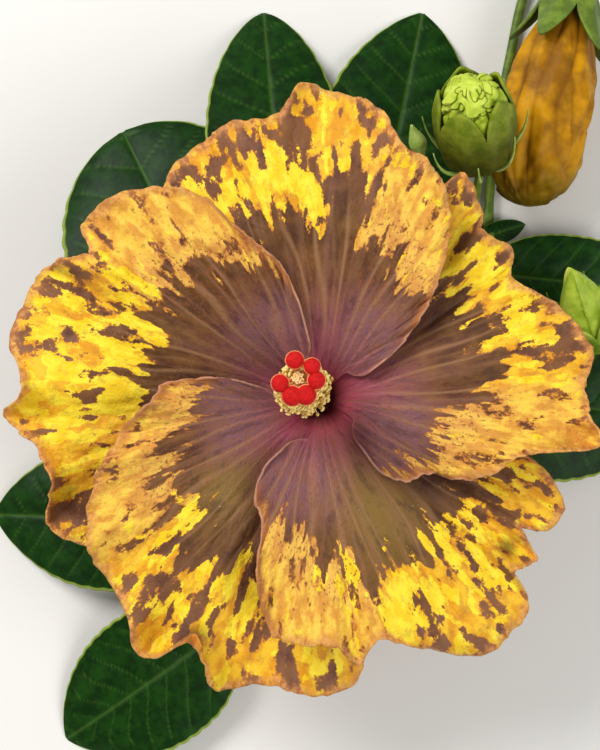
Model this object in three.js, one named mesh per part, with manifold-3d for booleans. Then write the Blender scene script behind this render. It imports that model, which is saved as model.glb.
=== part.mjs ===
// A flowering hibiscus branch, cut and laid down with its open bloom facing up. Millimetres, +Z up.
// Places are given from the foot of the bloom's axis. At the end the branch is moved so that the
// middle of its footprint is the origin, with the lowest points at Z = 0.
import * as THREE from "three";
import { mergeVertices } from "three/addons/utils/BufferGeometryUtils.js";
import Module from "manifold-3d";

const wasm = await Module();
wasm.setup();

// The open bloom
const PETAL_THICKNESS = 1.1;
const PETAL_ROWS = 10;
const PETAL_CLAW_THICKNESS = 0.8;
const RIM_HEIGHT = 66; // of the open bloom above the table
const THROAT_DEPTH = 22; // of the steep part, where the petals leave the calyx
const THROAT_SPREAD = 4.5;
const BOWL_DEPTH = 14; // of the shallow part round it
const BOWL_SPREAD = 16;
const FLAT_REACH = 45; // beyond it the petals bend back
const BEND_BACK = 5;
const BEND_SPREAD = 40;
const PETAL_ROLL = 10; // degrees; each petal's clockwise edge lies over the next petal
const CLAW_START = 4.2; // from the bloom's axis
const CLAW_HALF_WIDTH = 2.1;
const CLAW_REACH = 10.5; // where the claw widens into the blade
const CLAW_END_HALF_WIDTH = 2.8;
const CLAW_SHOULDER = 1.5; // how much sooner it widens at its two edges
const CLAW_SHARE = 0.3; // of a petal's rows

// The rim of each petal from its edge under one neighbour round to its edge over the other: degrees
// clockwise from the petal's midline, reach from the bloom's axis, and rise above the bowl.
const PETALS = [
  {
    name: "petal_top",
    heading: 88,
    rim: [
      [-44, 19, -3], [-48, 46, -1.5], [-46, 62, -1], [-37, 73, 1], [-27, 76.7, -2], [-20, 78.5, 0], [-11.3, 77, 3], [-5, 85, -2], [4.6, 82.6, 0],
      [10.2, 79.6, -2], [16.5, 71, 3], [24, 69, -1], [31, 63, 1], [37, 54, 2], [44, 42, 0],
      [49, 33.5, 1], [54, 25.6, 0], [58, 15.5, 2.5],
    ],
  },
  {
    name: "petal_right",
    heading: 15,
    rim: [
      [-44, 19, -3], [-48, 46, -1.5], [-46, 62, -1], [-42.4, 73, 0], [-34.5, 68.6, -2], [-31, 64, 2], [-22, 66.7, -2], [-18, 61.5, 2], [-4.9, 69.7, -1],
      [5, 74.5, -2], [10.8, 70.7, 3], [17, 71.5, 0], [23.7, 74.5, -3], [27, 62, 2], [31, 54, 0],
      [38, 49, 1], [44, 42.6, -1], [48, 35, 1], [57, 31.3, 0], [63.4, 25.7, 1], [62, 16, 2.5],
    ],
  },
  {
    name: "petal_lower_right",
    heading: -62,
    rim: [
      [-44, 19, -3], [-48, 46, -1.5], [-46, 62, -1], [-39, 72.6, -1], [-32.5, 71.3, 0], [-30, 64.3, 3], [-26, 71.8, -1], [-21.5, 69, 2], [-18, 79, -2],
      [-11, 82, -1], [-3.4, 81.3, -2], [4, 72.5, 3], [14, 65.5, 3], [19.5, 70.6, -3], [24, 64.5, 2],
      [31, 63.7, 0], [38.7, 62.6, -2], [43.6, 56, 1], [48.6, 46, 2], [53, 35.6, 0], [61.5, 30.8, 1],
      [67.5, 23, 1], [65, 16, 2.5],
    ],
  },
  {
    name: "petal_lower_left",
    heading: -131.5,
    rim: [
      [-46, 20, -4.5], [-52, 46, -1.5], [-52, 62, -1], [-49.5, 78, -1], [-39.5, 80, 1], [-30.5, 78, -1], [-21.5, 83, -2], [-17.5, 75.3, 3], [-12.9, 72.7, 5],
      [-7, 83.7, -3], [0.9, 76, 0], [8.5, 74.2, -1], [17.1, 72, 0], [28.9, 62.6, 2], [34.5, 57, 2],
      [41, 52, -1], [47.8, 45, 2], [54.9, 41.3, 0], [59.3, 33, 1], [62.5, 25.4, 0], [62, 16, 2.5],
    ],
  },
  {
    name: "petal_left",
    heading: 160,
    rim: [
      [-46, 20, -4.5], [-52, 46, -1.5], [-53, 62, -1], [-52, 74, 0], [-43.7, 80.5, -1], [-37, 74.5, 1], [-29, 77, -1], [-23, 85.3, -3], [-17.5, 79, 4],
      [-8.5, 85, 0], [3.9, 82.6, -1], [8.4, 78.3, 2], [12.8, 73, 4], [17, 79, -1], [25, 76.5, -1],
      [34.3, 69.4, 1], [40.5, 62, 0], [44.8, 50.2, 0], [50, 42.7, 1], [55, 37, 0], [58.5, 27, 1],
      [61, 16, 2.5],
    ],
  },
];
const RUFFLE_POWER = 3; // how fast a ruffle dies away from the rim
const BLADE_SPACING = 1.3; // above 1, a blade's rows are closer near its claw

// What carries the bloom, and what stands in its middle
const RECEPTACLE_FOOT = 19.5; // heights above the table
const RECEPTACLE_TOP = 29.2;
const RECEPTACLE_RADIUS = 5.6;
const BRACT_COUNT = 8;
const COLUMN_FOOT = 29.75;
const COLUMN_TOP = 99;
const COLUMN_LEAN = [-5.5, 6.2]; // of the column's top, across its length
const COLUMN_RADIUS = 2.3;
const COLUMN_TIP_RADIUS = 1.5;
const STAMEN_COUNT = 26;
const STAMEN_ZONE = [0.68, 0.97]; // share of the column's length
const STAMEN_REACH = [6.4, 3.6]; // at the bottom and the top of that zone
const ANTHER_RADIUS = 0.95;
const STIGMA_RADIUS = 2.25;
const STIGMA_RING = 4.5; // of the pads round the column's top
const STIGMA_HEIGHT = 4.2; // of the pads above the column
const STIGMA_ANGLES = [100, 40, -6, -61, -112, 196]; // the pads' places as the bloom is looked at
const CALYX_WALL = 0.9;
const CALYX_LOBES = 5;
const CALYX_PROFILE = [[6.9, 25], [8.4, 31], [9.9, 39], [11.8, 45], [15, 49.5], [19, 52.5]]; // radius, height

// The stem and what grows from it
const STEM_RADIUS = 4.1;
const STEM_TIP_RADIUS = 2.5;
const STEM_SIDES = 10;
const STEM_NODES = [[-8, -78], [-10.5, -56], [-6, -34], [-9, -12], [2, 8], [18, 24], [34, 39], [50, 52]];
const STEM_CLEARANCE = 0.33; // between a limb and what grows from it
const LEAF_THICKNESS = 1;
const PETIOLE_RADIUS = 1.5;

// Each leaf: where its petiole leaves the stem (share of the stem's length), its heading, how far the
// blade turns from the petiole, petiole length, blade length and width, height of the blade's foot and
// of its arch, sideways tilt, and how much its margin waves.
const LEAVES = [
  { name: "leaf_upper_left", at: 0.4, heading: 117, turn: 0, petiole: 29, length: 81, width: 66, foot: 12, arch: 3, tilt: 0, wave: 2, blunt: 1 },
  { name: "leaf_top", at: 0.5, heading: 96, turn: -1, petiole: 36, length: 84, width: 40, foot: 19, arch: 5, tilt: 0.04, wave: 1.6, blunt: 0.6 },
  { name: "leaf_top_right", at: 0.68, heading: 81, turn: -3, petiole: 26, length: 74, width: 47, foot: 9, arch: 2, tilt: 0, wave: 1.5, blunt: 0.3 },
  { name: "leaf_right", at: 0.86, heading: -2, turn: -4, petiole: 18, length: 58, width: 28, foot: 8, arch: 2, tilt: 0, wave: 1.5, blunt: 0.3 },
  { name: "leaf_small", at: 0.94, heading: 14, turn: 6, petiole: 7, length: 15, width: 7, foot: 7, arch: 1, tilt: 0, wave: 0.3, blunt: 0 },
  { name: "leaf_lower_right", at: 0.56, heading: -6, turn: 0, petiole: 42, length: 66, width: 46, foot: 7, arch: 1.5, tilt: 0, wave: 1.8, blunt: 0.3 },
  { name: "leaf_left", at: 0.29, heading: 184, turn: -4, petiole: 26, length: 66, width: 44, foot: 10, arch: 3, tilt: 0, wave: 1.8, blunt: 0.3 },
  { name: "leaf_lower_left", at: 0.13, heading: 212, turn: 4, petiole: 20, length: 60, width: 42, foot: 9, arch: 3, tilt: 0, wave: 1.7, blunt: 0.3 },
];
const LEAF_TIP_HEIGHT = 0.5;
const LEAF_FOLD = 0.12; // rise of the halves from the midrib, by half width
const LEAF_DROOP = 0.16;
const LEAF_ROWS = 8;
const LEAF_COLUMNS = 6;

// The large bud at the top right, the small one beside it, the one at the right, and the furled bloom
const LARGE_BUD = { foot: [47, 68.5, 25], tip: [41.5, 86.5, 53], radius: 11.2, stalkFrom: 0.96, stalkRadius: 1.3 };
const SIDE_BUD = { foot: [82, 16.5, 17], tip: [71.4, 36, 42], radius: 9, stalkFrom: 0.72, stalkRadius: 1.3 };
// The furled bloom nods back over its own stalk, so its closed end is the one nearer the stem.
const FURLED_BLOOM = { foot: [75.8, 121.8, 17.7], tip: [61, 57.5, 16] };
const FURLED_PROFILE = [
  [3.6, 0.1], [6.8, 9], [11.3, 21], [14, 34], [14.4, 48], [12.4, 58], [8, 64], [2.5, 66.3],
]; // radius, distance from its foot
const FURLED_CALYX = [[4.9, 0.8], [7.6, 3.5], [9.3, 8], [11.6, 13], [14.6, 19]];
const FURLED_STALK = [
  [51, 53, 2.4], [52.5, 66, 1.8], [55, 82, 1.8], [59, 104, 1.8], [64, 125, 2.4], [71, 136.5, 6.5], [76.5, 138, 13],
];
const FURLED_STALK_RADIUS = 1.5;
const TINY_BUD = { foot: [31, 72, 17], tip: [27.5, 80, 22], radius: 2.6, stalkFrom: 0.9, stalkRadius: 0.7 };

const DEGREE = Math.PI / 180;
const COLOURS = {
  petal: { color: 0xd9a436, roughness: 0.62 },
  stigma: { color: 0xc41a12, roughness: 0.8 },
  column: { color: 0xe2c878, roughness: 0.7 },
  calyx: { color: 0x6d8c2a, roughness: 0.55 },
  budPetal: { color: 0xb9cc3e, roughness: 0.6 },
  leaf: { color: 0x1f4a18, roughness: 0.38 },
  stem: { color: 0x5d6a35, roughness: 0.75 },
  furled: { color: 0xb98416, roughness: 0.65 },
};

// Geometry from a list of points and triangles.
function geometryOf(points, triangles) {
  const geometry = new THREE.BufferGeometry();
  geometry.setAttribute("position", new THREE.Float32BufferAttribute(points.flatMap((p) => [p.x, p.y, p.z]), 3));
  geometry.setIndex(triangles);
  return geometry;
}

function quad(triangles, a, b, c, d) {
  triangles.push(a, b, c, a, c, d);
}

// A closed thin solid round the surface middle(u, v), with u and v from 0 to 1. With around, v comes
// back to where it began. With onTable, nothing reaches below the table.
function sheet(middle, rows, columns, thickness, { around = false, onTable = false } = {}) {
  const across = around ? columns : columns + 1;
  const step = 1e-3;
  const points = [[], []];
  for (let i = 0; i <= rows; i++)
    for (let j = 0; j < across; j++) {
      const u = i / rows;
      const v = j / columns;
      const alongU = middle(Math.min(1, u + step), v).sub(middle(Math.max(0, u - step), v));
      const v1 = around ? v + step : Math.min(1, v + step);
      const v0 = around ? v - step : Math.max(0, v - step);
      const normal = alongU.cross(middle(u, v1).sub(middle(u, v0))).normalize();
      const half = thickness(u, v) / 2;
      points[0].push(middle(u, v).addScaledVector(normal, half));
      points[1].push(middle(u, v).addScaledVector(normal, -half));
    }
  if (onTable)
    points[0].forEach((first, k) => {
      const second = points[1][k];
      const [low, high] = first.z < second.z ? [first, second] : [second, first];
      low.z = Math.max(low.z, 0);
      high.z = Math.max(high.z, low.z + 0.6);
    });
  const all = [...points[0], ...points[1]];
  const offset = points[0].length;
  const front = (i, j) => i * across + (around ? j % columns : j);
  const back = (i, j) => offset + front(i, j);
  const triangles = [];
  for (let i = 0; i < rows; i++)
    for (let j = 0; j < columns; j++) {
      quad(triangles, front(i, j), front(i + 1, j), front(i + 1, j + 1), front(i, j + 1));
      quad(triangles, back(i, j), back(i, j + 1), back(i + 1, j + 1), back(i + 1, j));
    }
  for (let j = 0; j < columns; j++) {
    quad(triangles, front(0, j), front(0, j + 1), back(0, j + 1), back(0, j));
    quad(triangles, front(rows, j + 1), front(rows, j), back(rows, j), back(rows, j + 1));
  }
  if (!around)
    for (let i = 0; i < rows; i++) {
      quad(triangles, front(i + 1, 0), front(i, 0), back(i, 0), back(i + 1, 0));
      quad(triangles, front(i, columns), front(i + 1, columns), back(i + 1, columns), back(i, columns));
    }
  return geometryOf(all, triangles);
}

// A closed body through rings of points, each ring closed at the ends by a fan.
function skin(rings) {
  const sides = rings[0].length;
  const points = rings.flat();
  const triangles = [];
  for (let i = 0; i + 1 < rings.length; i++)
    for (let j = 0; j < sides; j++) {
      const k = (j + 1) % sides;
      quad(triangles, i * sides + j, i * sides + k, (i + 1) * sides + k, (i + 1) * sides + j);
    }
  const capWith = (ring, start, forward) => {
    const centre = ring.reduce((sum, p) => sum.add(p), new THREE.Vector3()).divideScalar(sides);
    const hub = points.push(centre) - 1;
    for (let j = 0; j < sides; j++) {
      const k = (j + 1) % sides;
      if (forward) triangles.push(hub, start + j, start + k);
      else triangles.push(hub, start + k, start + j);
    }
  };
  capWith(rings[0], 0, false);
  capWith(rings[rings.length - 1], (rings.length - 1) * sides, true);
  return geometryOf(points, triangles);
}

// A round limb that follows a curve, with its radius given along it.
function limb(curve, radius, sides, steps) {
  const frames = curve.computeFrenetFrames(steps, false);
  const rings = [];
  for (let i = 0; i <= steps; i++) {
    const t = i / steps;
    const centre = curve.getPointAt(t);
    const ring = [];
    for (let j = 0; j < sides; j++) {
      const angle = (2 * Math.PI * j) / sides;
      ring.push(
        centre
          .clone()
          .addScaledVector(frames.normals[i], Math.cos(angle) * radius(t))
          .addScaledVector(frames.binormals[i], Math.sin(angle) * radius(t)),
      );
    }
    rings.push(ring);
  }
  return skin(rings);
}

function solidOf(geometry) {
  const plain = geometry.clone();
  plain.deleteAttribute("normal");
  plain.deleteAttribute("uv");
  const merged = mergeVertices(plain, 1e-4);
  return new wasm.Manifold(
    new wasm.Mesh({
      numProp: 3,
      vertProperties: new Float32Array(merged.attributes.position.array),
      triVerts: new Uint32Array(merged.index.array),
    }),
  );
}

function geometryFrom(solid) {
  const made = solid.getMesh();
  const geometry = new THREE.BufferGeometry();
  geometry.setAttribute("position", new THREE.BufferAttribute(new Float32Array(made.vertProperties), 3));
  geometry.setIndex(new THREE.BufferAttribute(new Uint32Array(made.triVerts), 1));
  return geometry;
}

function fused(geometries) {
  return geometries.map(solidOf).reduce((sum, next) => sum.add(next));
}

function meshOf(name, geometry, look) {
  const shown = geometry.clone();
  shown.computeVertexNormals();
  const mesh = new THREE.Mesh(shown, new THREE.MeshStandardMaterial({ ...look, metalness: 0 }));
  mesh.name = name;
  return mesh;
}

const smoothStep = (low, high, x) => {
  const t = Math.min(1, Math.max(0, (x - low) / (high - low)));
  return t * t * (3 - 2 * t);
};
const curveThrough = (points) => new THREE.CatmullRomCurve3(points.map((p) => new THREE.Vector3(...p)));

// Height of the bloom's bowl at a distance from its axis.
function bowlHeight(reach) {
  const out = Math.max(0, reach - CLAW_START);
  const past = Math.max(0, reach - FLAT_REACH) / BEND_SPREAD;
  return (
    RIM_HEIGHT -
    THROAT_DEPTH * Math.exp(-out / THROAT_SPREAD) -
    BOWL_DEPTH * Math.exp(-out / BOWL_SPREAD) -
    BEND_BACK * past * past
  );
}

// One petal in its own frame: +X is its midline, and -Y its clockwise side.
function petal({ name, heading, rim }) {
  const rimCurve = curveThrough(
    rim.map(([angle, reach, rise]) => [
      reach * Math.cos(angle * DEGREE),
      reach * Math.sin(angle * DEGREE),
      rise,
    ]),
  );
  const middle = (u, v) => {
    const side = 2 * v - 1;
    const end = rimCurve.getPoint(v);
    const mix = THREE.MathUtils.lerp;
    const shoulderX = CLAW_REACH - CLAW_SHOULDER * side * side;
    const onClaw = Math.min(1, u / CLAW_SHARE);
    const onBlade = (Math.max(0, u - CLAW_SHARE) / (1 - CLAW_SHARE)) ** BLADE_SPACING;
    const x = mix(mix(CLAW_START, shoulderX, onClaw), end.x, onBlade);
    const y = mix(side * mix(CLAW_HALF_WIDTH, CLAW_END_HALF_WIDTH, onClaw), end.y, onBlade);
    const z = bowlHeight(Math.hypot(x, y)) + Math.tan(PETAL_ROLL * DEGREE) * y + end.z * onBlade ** RUFFLE_POWER;
    return new THREE.Vector3(x, -y, z);
  };
  // v runs clockwise, so the surface is turned over for its front to face up.
  const geometry = sheet(
    (u, v) => middle(u, 1 - v),
    PETAL_ROWS,
    rim.length - 1,
    (u) =>
      PETAL_CLAW_THICKNESS +
      (PETAL_THICKNESS - PETAL_CLAW_THICKNESS) * (smoothStep(0.35, 0.6, u) - smoothStep(0.7, 1, u)),
  );
  const mesh = meshOf(name, geometry, COLOURS.petal);
  mesh.rotation.z = heading * DEGREE;
  return mesh;
}

// A narrow pointed bract from a ring of given radius, curving out and up.
function bract(angle, radius, foot, length, out) {
  const direction = new THREE.Vector3(Math.cos(angle), Math.sin(angle), 0);
  const at = (distance, height) => direction.clone().multiplyScalar(distance).setZ(height);
  const curve = new THREE.QuadraticBezierCurve3(
    at(radius, foot),
    at(radius + out * 0.9, foot + length * 0.25),
    at(radius + out, foot + length),
  );
  return limb(curve, (t) => 1 - 0.8 * t, 4, 4);
}

function receptacle() {
  const neck = 2.6;
  const body = new THREE.LatheGeometry(
    [
      new THREE.Vector2(0, RECEPTACLE_FOOT),
      new THREE.Vector2(neck, RECEPTACLE_FOOT),
      new THREE.Vector2(RECEPTACLE_RADIUS, RECEPTACLE_FOOT + 4),
      new THREE.Vector2(RECEPTACLE_RADIUS, RECEPTACLE_TOP),
      new THREE.Vector2(0, RECEPTACLE_TOP),
    ],
    16,
  ).rotateX(Math.PI / 2);
  const bracts = [];
  for (let k = 0; k < BRACT_COUNT; k++)
    bracts.push(bract((2 * Math.PI * k) / BRACT_COUNT, 3.5, RECEPTACLE_FOOT + 2, 12, 14));
  return meshOf("receptacle", geometryFrom(fused([body, ...bracts])), COLOURS.calyx);
}

// A cup with pointed lobes round an axis along +Z, from a profile of [radius, height].
function calyxCup(profile, lobes, wall, cupShare, rows, columnsPerLobe) {
  const spline = new THREE.SplineCurve(profile.map(([r, z]) => new THREE.Vector2(r, z)));
  const middle = (u, v) => {
    const inLobe = (((v * lobes) % 1) + 1) % 1;
    const point = 1 - Math.abs(2 * inLobe - 1);
    const at = spline.getPoint(u * (cupShare + (1 - cupShare) * point ** 0.75));
    const angle = 2 * Math.PI * v;
    return new THREE.Vector3(at.x * Math.cos(angle), at.x * Math.sin(angle), at.y);
  };
  return sheet((u, v) => middle(u, -v), rows, lobes * columnsPerLobe, () => wall, { around: true });
}

function calyx() {
  const mesh = meshOf("calyx", calyxCup(CALYX_PROFILE, CALYX_LOBES, CALYX_WALL, 0.5, 5, 6), COLOURS.calyx);
  mesh.rotation.z = (88 + 36) * DEGREE; // its lobes show between the petals
  return mesh;
}

function columnCurve() {
  const [leanX, leanY] = COLUMN_LEAN;
  return curveThrough([
    [0, 0, COLUMN_FOOT],
    [leanX * 0.2, leanY * 0.2, COLUMN_FOOT + 0.3 * (COLUMN_TOP - COLUMN_FOOT)],
    [leanX * 0.6, leanY * 0.6, COLUMN_FOOT + 0.68 * (COLUMN_TOP - COLUMN_FOOT)],
    [leanX, leanY, COLUMN_TOP],
  ]);
}

function column() {
  const curve = columnCurve();
  const pieces = [limb(curve, (t) => COLUMN_RADIUS + (COLUMN_TIP_RADIUS - COLUMN_RADIUS) * t, 8, 10)];
  const goldenAngle = 137.5 * DEGREE;
  for (let k = 0; k < STAMEN_COUNT; k++) {
    const share = k / (STAMEN_COUNT - 1);
    const t = STAMEN_ZONE[0] + (STAMEN_ZONE[1] - STAMEN_ZONE[0]) * share;
    const reach = STAMEN_REACH[0] + (STAMEN_REACH[1] - STAMEN_REACH[0]) * share;
    const out = new THREE.Vector3(Math.cos(k * goldenAngle), Math.sin(k * goldenAngle), 0);
    const foot = curve.getPointAt(t);
    const tip = foot.clone().addScaledVector(out, reach).setZ(foot.z + 1.5);
    pieces.push(limb(new THREE.LineCurve3(foot, tip), () => 0.4, 3, 1));
    pieces.push(new THREE.OctahedronGeometry(ANTHER_RADIUS).translate(tip.x, tip.y, tip.z));
  }
  return meshOf("staminal_column", geometryFrom(fused(pieces.map(indexed))), COLOURS.column);
}

function indexed(geometry) {
  if (geometry.index) return geometry;
  const plain = geometry.clone();
  plain.deleteAttribute("normal");
  plain.deleteAttribute("uv");
  return mergeVertices(plain, 1e-4);
}

function stigmas() {
  const top = new THREE.Vector3(COLUMN_LEAN[0], COLUMN_LEAN[1], COLUMN_TOP + 0.55);
  const pieces = [new THREE.CylinderGeometry(1.3, 1.3, 1.6, 8).rotateX(Math.PI / 2).translate(top.x, top.y, top.z + 0.8)];
  for (const angle of STIGMA_ANGLES) {
    const out = new THREE.Vector3(Math.cos(angle * DEGREE), Math.sin(angle * DEGREE), 0);
    const pad = top.clone().addScaledVector(out, STIGMA_RING).setZ(top.z + STIGMA_HEIGHT);
    const style = new THREE.QuadraticBezierCurve3(
      top.clone().setZ(top.z + 0.8),
      top.clone().addScaledVector(out, STIGMA_RING * 0.9).setZ(top.z + 1.4),
      pad,
    );
    pieces.push(limb(style, () => 0.55, 5, 3));
    pieces.push(new THREE.IcosahedronGeometry(STIGMA_RADIUS, 1).scale(1, 1, 0.8).translate(pad.x, pad.y, pad.z));
  }
  return meshOf("stigmas", geometryFrom(fused(pieces.map(indexed))), COLOURS.stigma);
}

const stemRadius = (t) => STEM_RADIUS + (STEM_TIP_RADIUS - STEM_RADIUS) * t;

// The stem lies on the table, so its middle is its own radius above it.
function stemCurve() {
  const last = STEM_NODES.length - 1;
  return curveThrough(STEM_NODES.map(([x, y], k) => [x, y, stemRadius(k / last)]));
}

// The stem with flat sides up and down, a little wider where a leaf or stalk leaves it.
function stemRings(curve, extra, steps) {
  const rings = [];
  for (let i = 0; i <= steps; i++) {
    const t = i / steps;
    const centre = curve.getPointAt(t);
    const along = curve.getTangentAt(t).setZ(0).normalize();
    const side = new THREE.Vector3(-along.y, along.x, 0);
    const radius = stemRadius(t) + extra;
    const ring = [];
    for (let j = 0; j < STEM_SIDES; j++) {
      const angle = (2 * Math.PI * j) / STEM_SIDES;
      const up = Math.sin(angle + Math.PI / 2) * radius;
      ring.push(centre.clone().addScaledVector(side, Math.cos(angle + Math.PI / 2) * radius).setZ(centre.z + up));
    }
    rings.push(ring);
  }
  return rings;
}

// A leaf with its petiole. The petiole starts in the stem, and is cut clear of it.
function leaf(shape, stem, stemSolid) {
  const start = stem.getPointAt(shape.at);
  const heading = shape.heading * DEGREE;
  const bladeHeading = heading + shape.turn * DEGREE;
  const petioleEnd = new THREE.Vector3(
    start.x + shape.petiole * Math.cos(heading),
    start.y + shape.petiole * Math.sin(heading),
    shape.foot,
  );
  const along = new THREE.Vector3(Math.cos(bladeHeading), Math.sin(bladeHeading), 0);
  const side = new THREE.Vector3(-along.y, along.x, 0);
  const middle = (u, v) => {
    const across = 2 * v - 1;
    const half = (shape.width / 2) * Math.max(0.04, leafWidth(u, shape.blunt));
    const centreHeight =
      LEAF_TIP_HEIGHT + (shape.foot - LEAF_TIP_HEIGHT) * (1 - u ** 1.6) + shape.arch * Math.sin(Math.PI * u);
    const lift =
      half * (LEAF_FOLD * Math.abs(across) - LEAF_DROOP * across * across + shape.tilt * across) +
      shape.wave * across * across * Math.sin(9 * u + 2 * across) * Math.sin(Math.PI * u);
    return petioleEnd
      .clone()
      .addScaledVector(along, shape.length * u)
      .addScaledVector(side, half * across)
      .setZ(centreHeight + lift);
  };
  const blade = sheet(middle, LEAF_ROWS, LEAF_COLUMNS, () => LEAF_THICKNESS, { onTable: true });
  const petioleCurve = new THREE.QuadraticBezierCurve3(
    start,
    start.clone().lerp(petioleEnd, 0.55).setZ(shape.foot + 1),
    petioleEnd.clone().addScaledVector(along, 4),
  );
  const petiole = limb(petioleCurve, (t) => PETIOLE_RADIUS * (1 - 0.35 * t), 6, 6);
  const solid = fused([blade, petiole]).subtract(stemSolid);
  return meshOf(shape.name, geometryFrom(solid), COLOURS.leaf);
}

// Half width of a leaf along its blade, 1 at its widest: a round foot, and a point or, where blunt is
// 1, a round end.
function leafWidth(u, blunt) {
  const widest = 0.38 + 0.17 * blunt;
  if (u < widest) return Math.sqrt(1 - (1 - u / widest) ** 2.2);
  return (1 - ((u - widest) / (1 - widest)) ** 2.05) ** (0.85 - 0.33 * blunt);
}

// A group that stands at a bud's foot with +Z towards its tip.
function axisGroup({ foot, tip }, ...children) {
  const group = new THREE.Group();
  const direction = new THREE.Vector3(...tip).sub(new THREE.Vector3(...foot)).normalize();
  group.quaternion.setFromUnitVectors(new THREE.Vector3(0, 0, 1), direction);
  group.position.set(...foot);
  for (const child of children) group.add(child);
  return group;
}

const lengthOf = ({ foot, tip }) => new THREE.Vector3(...tip).distanceTo(new THREE.Vector3(...foot));

// A stalk from the stem to a bud's foot, cut clear of the stem, with the round receptacle on its end.
function stalk(name, bud, stem, stemSolid, headRadius, bend = 0.5) {
  const foot = new THREE.Vector3(...bud.foot);
  const direction = new THREE.Vector3(...bud.tip).sub(foot).normalize();
  const start = stem.getPointAt(bud.stalkFrom);
  const end = foot.clone().addScaledVector(direction, -STEM_CLEARANCE);
  const curve = new THREE.CubicBezierCurve3(
    start,
    start.clone().lerp(foot, 0.35).setZ(Math.max(start.z, foot.z * bend)),
    end.clone().addScaledVector(direction, -9),
    end,
  );
  const widen = (t) => bud.stalkRadius + (headRadius - bud.stalkRadius) * smoothStep(0.86, 1, t);
  return meshOf(name, geometryFrom(solidOf(limb(curve, widen, 8, 10)).subtract(stemSolid)), COLOURS.calyx);
}

// Closed petals of a bud or a furled bloom: a body round +Z with spiral folds. Profile is [radius, height].
function furledPetals(profile, folds, depth, twist, rows, sides) {
  const spline = new THREE.SplineCurve(profile.map(([r, z]) => new THREE.Vector2(r, z)));
  const rings = [];
  for (let i = 0; i <= rows; i++) {
    const u = i / rows;
    const at = spline.getPoint(u);
    const ring = [];
    for (let j = 0; j < sides; j++) {
      const angle = (2 * Math.PI * j) / sides;
      const turn = (((angle / (2 * Math.PI)) * folds + twist * u) % 1 + 1) % 1;
      const radius = at.x * (1 - depth * u * turn);
      ring.push(new THREE.Vector3(radius * Math.cos(angle), radius * Math.sin(angle), at.y));
    }
    rings.push(ring);
  }
  return skin(rings);
}

function largeBud(stem, stemSolid) {
  const { radius } = LARGE_BUD;
  const length = lengthOf(LARGE_BUD);
  const petals = furledPetals(
    [[radius * 0.3, 0.1], [radius * 0.66, length * 0.24], [radius * 0.84, length * 0.6], [radius * 0.72, length * 0.86],
      [radius * 0.3, length]],
    5, 0.16, 0.5, 8, 20,
  );
  const cup = calyxCup(
    [[radius * 0.45, 0.8], [radius * 0.88, length * 0.2], [radius * 0.985, length * 0.45], [radius * 0.93, length * 0.72],
      [radius * 0.8, length * 0.9]],
    5, CALYX_WALL, 0.62, 5, 4,
  );
  const bracts = [];
  for (let k = 0; k < 7; k++) bracts.push(bract((2 * Math.PI * (k + 0.3)) / 7, radius * 0.54, 1, 18, 8.5));
  const calyxMesh = meshOf("large_bud_calyx", geometryFrom(fused([cup, ...bracts])), COLOURS.calyx);
  return [
    axisGroup(LARGE_BUD, meshOf("large_bud_petals", petals, COLOURS.budPetal), calyxMesh),
    stalk("large_bud_stalk", LARGE_BUD, stem, stemSolid, radius * 0.32),
  ];
}

function sideBud(stem, stemSolid) {
  const { radius } = SIDE_BUD;
  const length = lengthOf(SIDE_BUD);
  const body = furledPetals(
    [[radius * 0.4, 0], [radius * 0.9, length * 0.22], [radius, length * 0.45], [radius * 0.66, length * 0.76],
      [radius * 0.1, length]],
    5, 0.14, 0, 7, 20,
  );
  const bracts = [];
  for (let k = 0; k < 6; k++) bracts.push(bract((2 * Math.PI * (k + 0.5)) / 6, radius * 0.5, 2.2, 16, 8));
  return [
    axisGroup(SIDE_BUD, meshOf("side_bud", geometryFrom(fused([body, ...bracts])), COLOURS.calyx)),
    stalk("side_bud_stalk", SIDE_BUD, stem, stemSolid, radius * 0.36, 0.95),
  ];
}

function furledBloom(stemSolid) {
  const petals = furledPetals(FURLED_PROFILE, 5, 0.2, 0.7, 12, 25);
  const cup = calyxCup(FURLED_CALYX, 5, CALYX_WALL, 0.45, 5, 4);
  const foot = new THREE.Vector3(...FURLED_BLOOM.foot);
  const direction = new THREE.Vector3(...FURLED_BLOOM.tip).sub(foot).normalize();
  const bend = foot.clone().addScaledVector(direction, -11).setZ(foot.z + 0.5);
  const end = foot.clone().addScaledVector(direction, -STEM_CLEARANCE);
  const curve = curveThrough([...FURLED_STALK, bend.toArray(), end.toArray()]);
  const widen = (t) => FURLED_STALK_RADIUS + 1.9 * smoothStep(0.92, 0.99, t);
  const stalkSolid = solidOf(limb(curve, widen, 8, 24)).subtract(stemSolid);
  return [
    axisGroup(FURLED_BLOOM, meshOf("furled_bloom_petals", petals, COLOURS.furled),
      meshOf("furled_bloom_calyx", cup, COLOURS.calyx)),
    meshOf("furled_bloom_stalk", geometryFrom(stalkSolid), COLOURS.calyx),
  ];
}

// The tiny bud, in one piece with its thread of a stalk.
function tinyBud(stem, stemSolid) {
  const { radius, foot, tip, stalkFrom, stalkRadius } = TINY_BUD;
  const length = lengthOf(TINY_BUD);
  const body = furledPetals(
    [[stalkRadius, -0.5], [radius * 0.9, length * 0.25], [radius, length * 0.5], [radius * 0.15, length]],
    5, 0.1, 0, 5, 10,
  );
  const place = axisGroup(TINY_BUD);
  place.updateMatrix();
  body.applyMatrix4(place.matrix);
  const start = stem.getPointAt(stalkFrom);
  const end = new THREE.Vector3(...foot).lerp(new THREE.Vector3(...tip), 0.1);
  const curve = new THREE.QuadraticBezierCurve3(start, start.clone().lerp(end, 0.35).setZ(end.z), end);
  const solid = fused([body, limb(curve, () => stalkRadius, 6, 6)]).subtract(stemSolid);
  return meshOf("tiny_bud", geometryFrom(solid), COLOURS.calyx);
}

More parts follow.
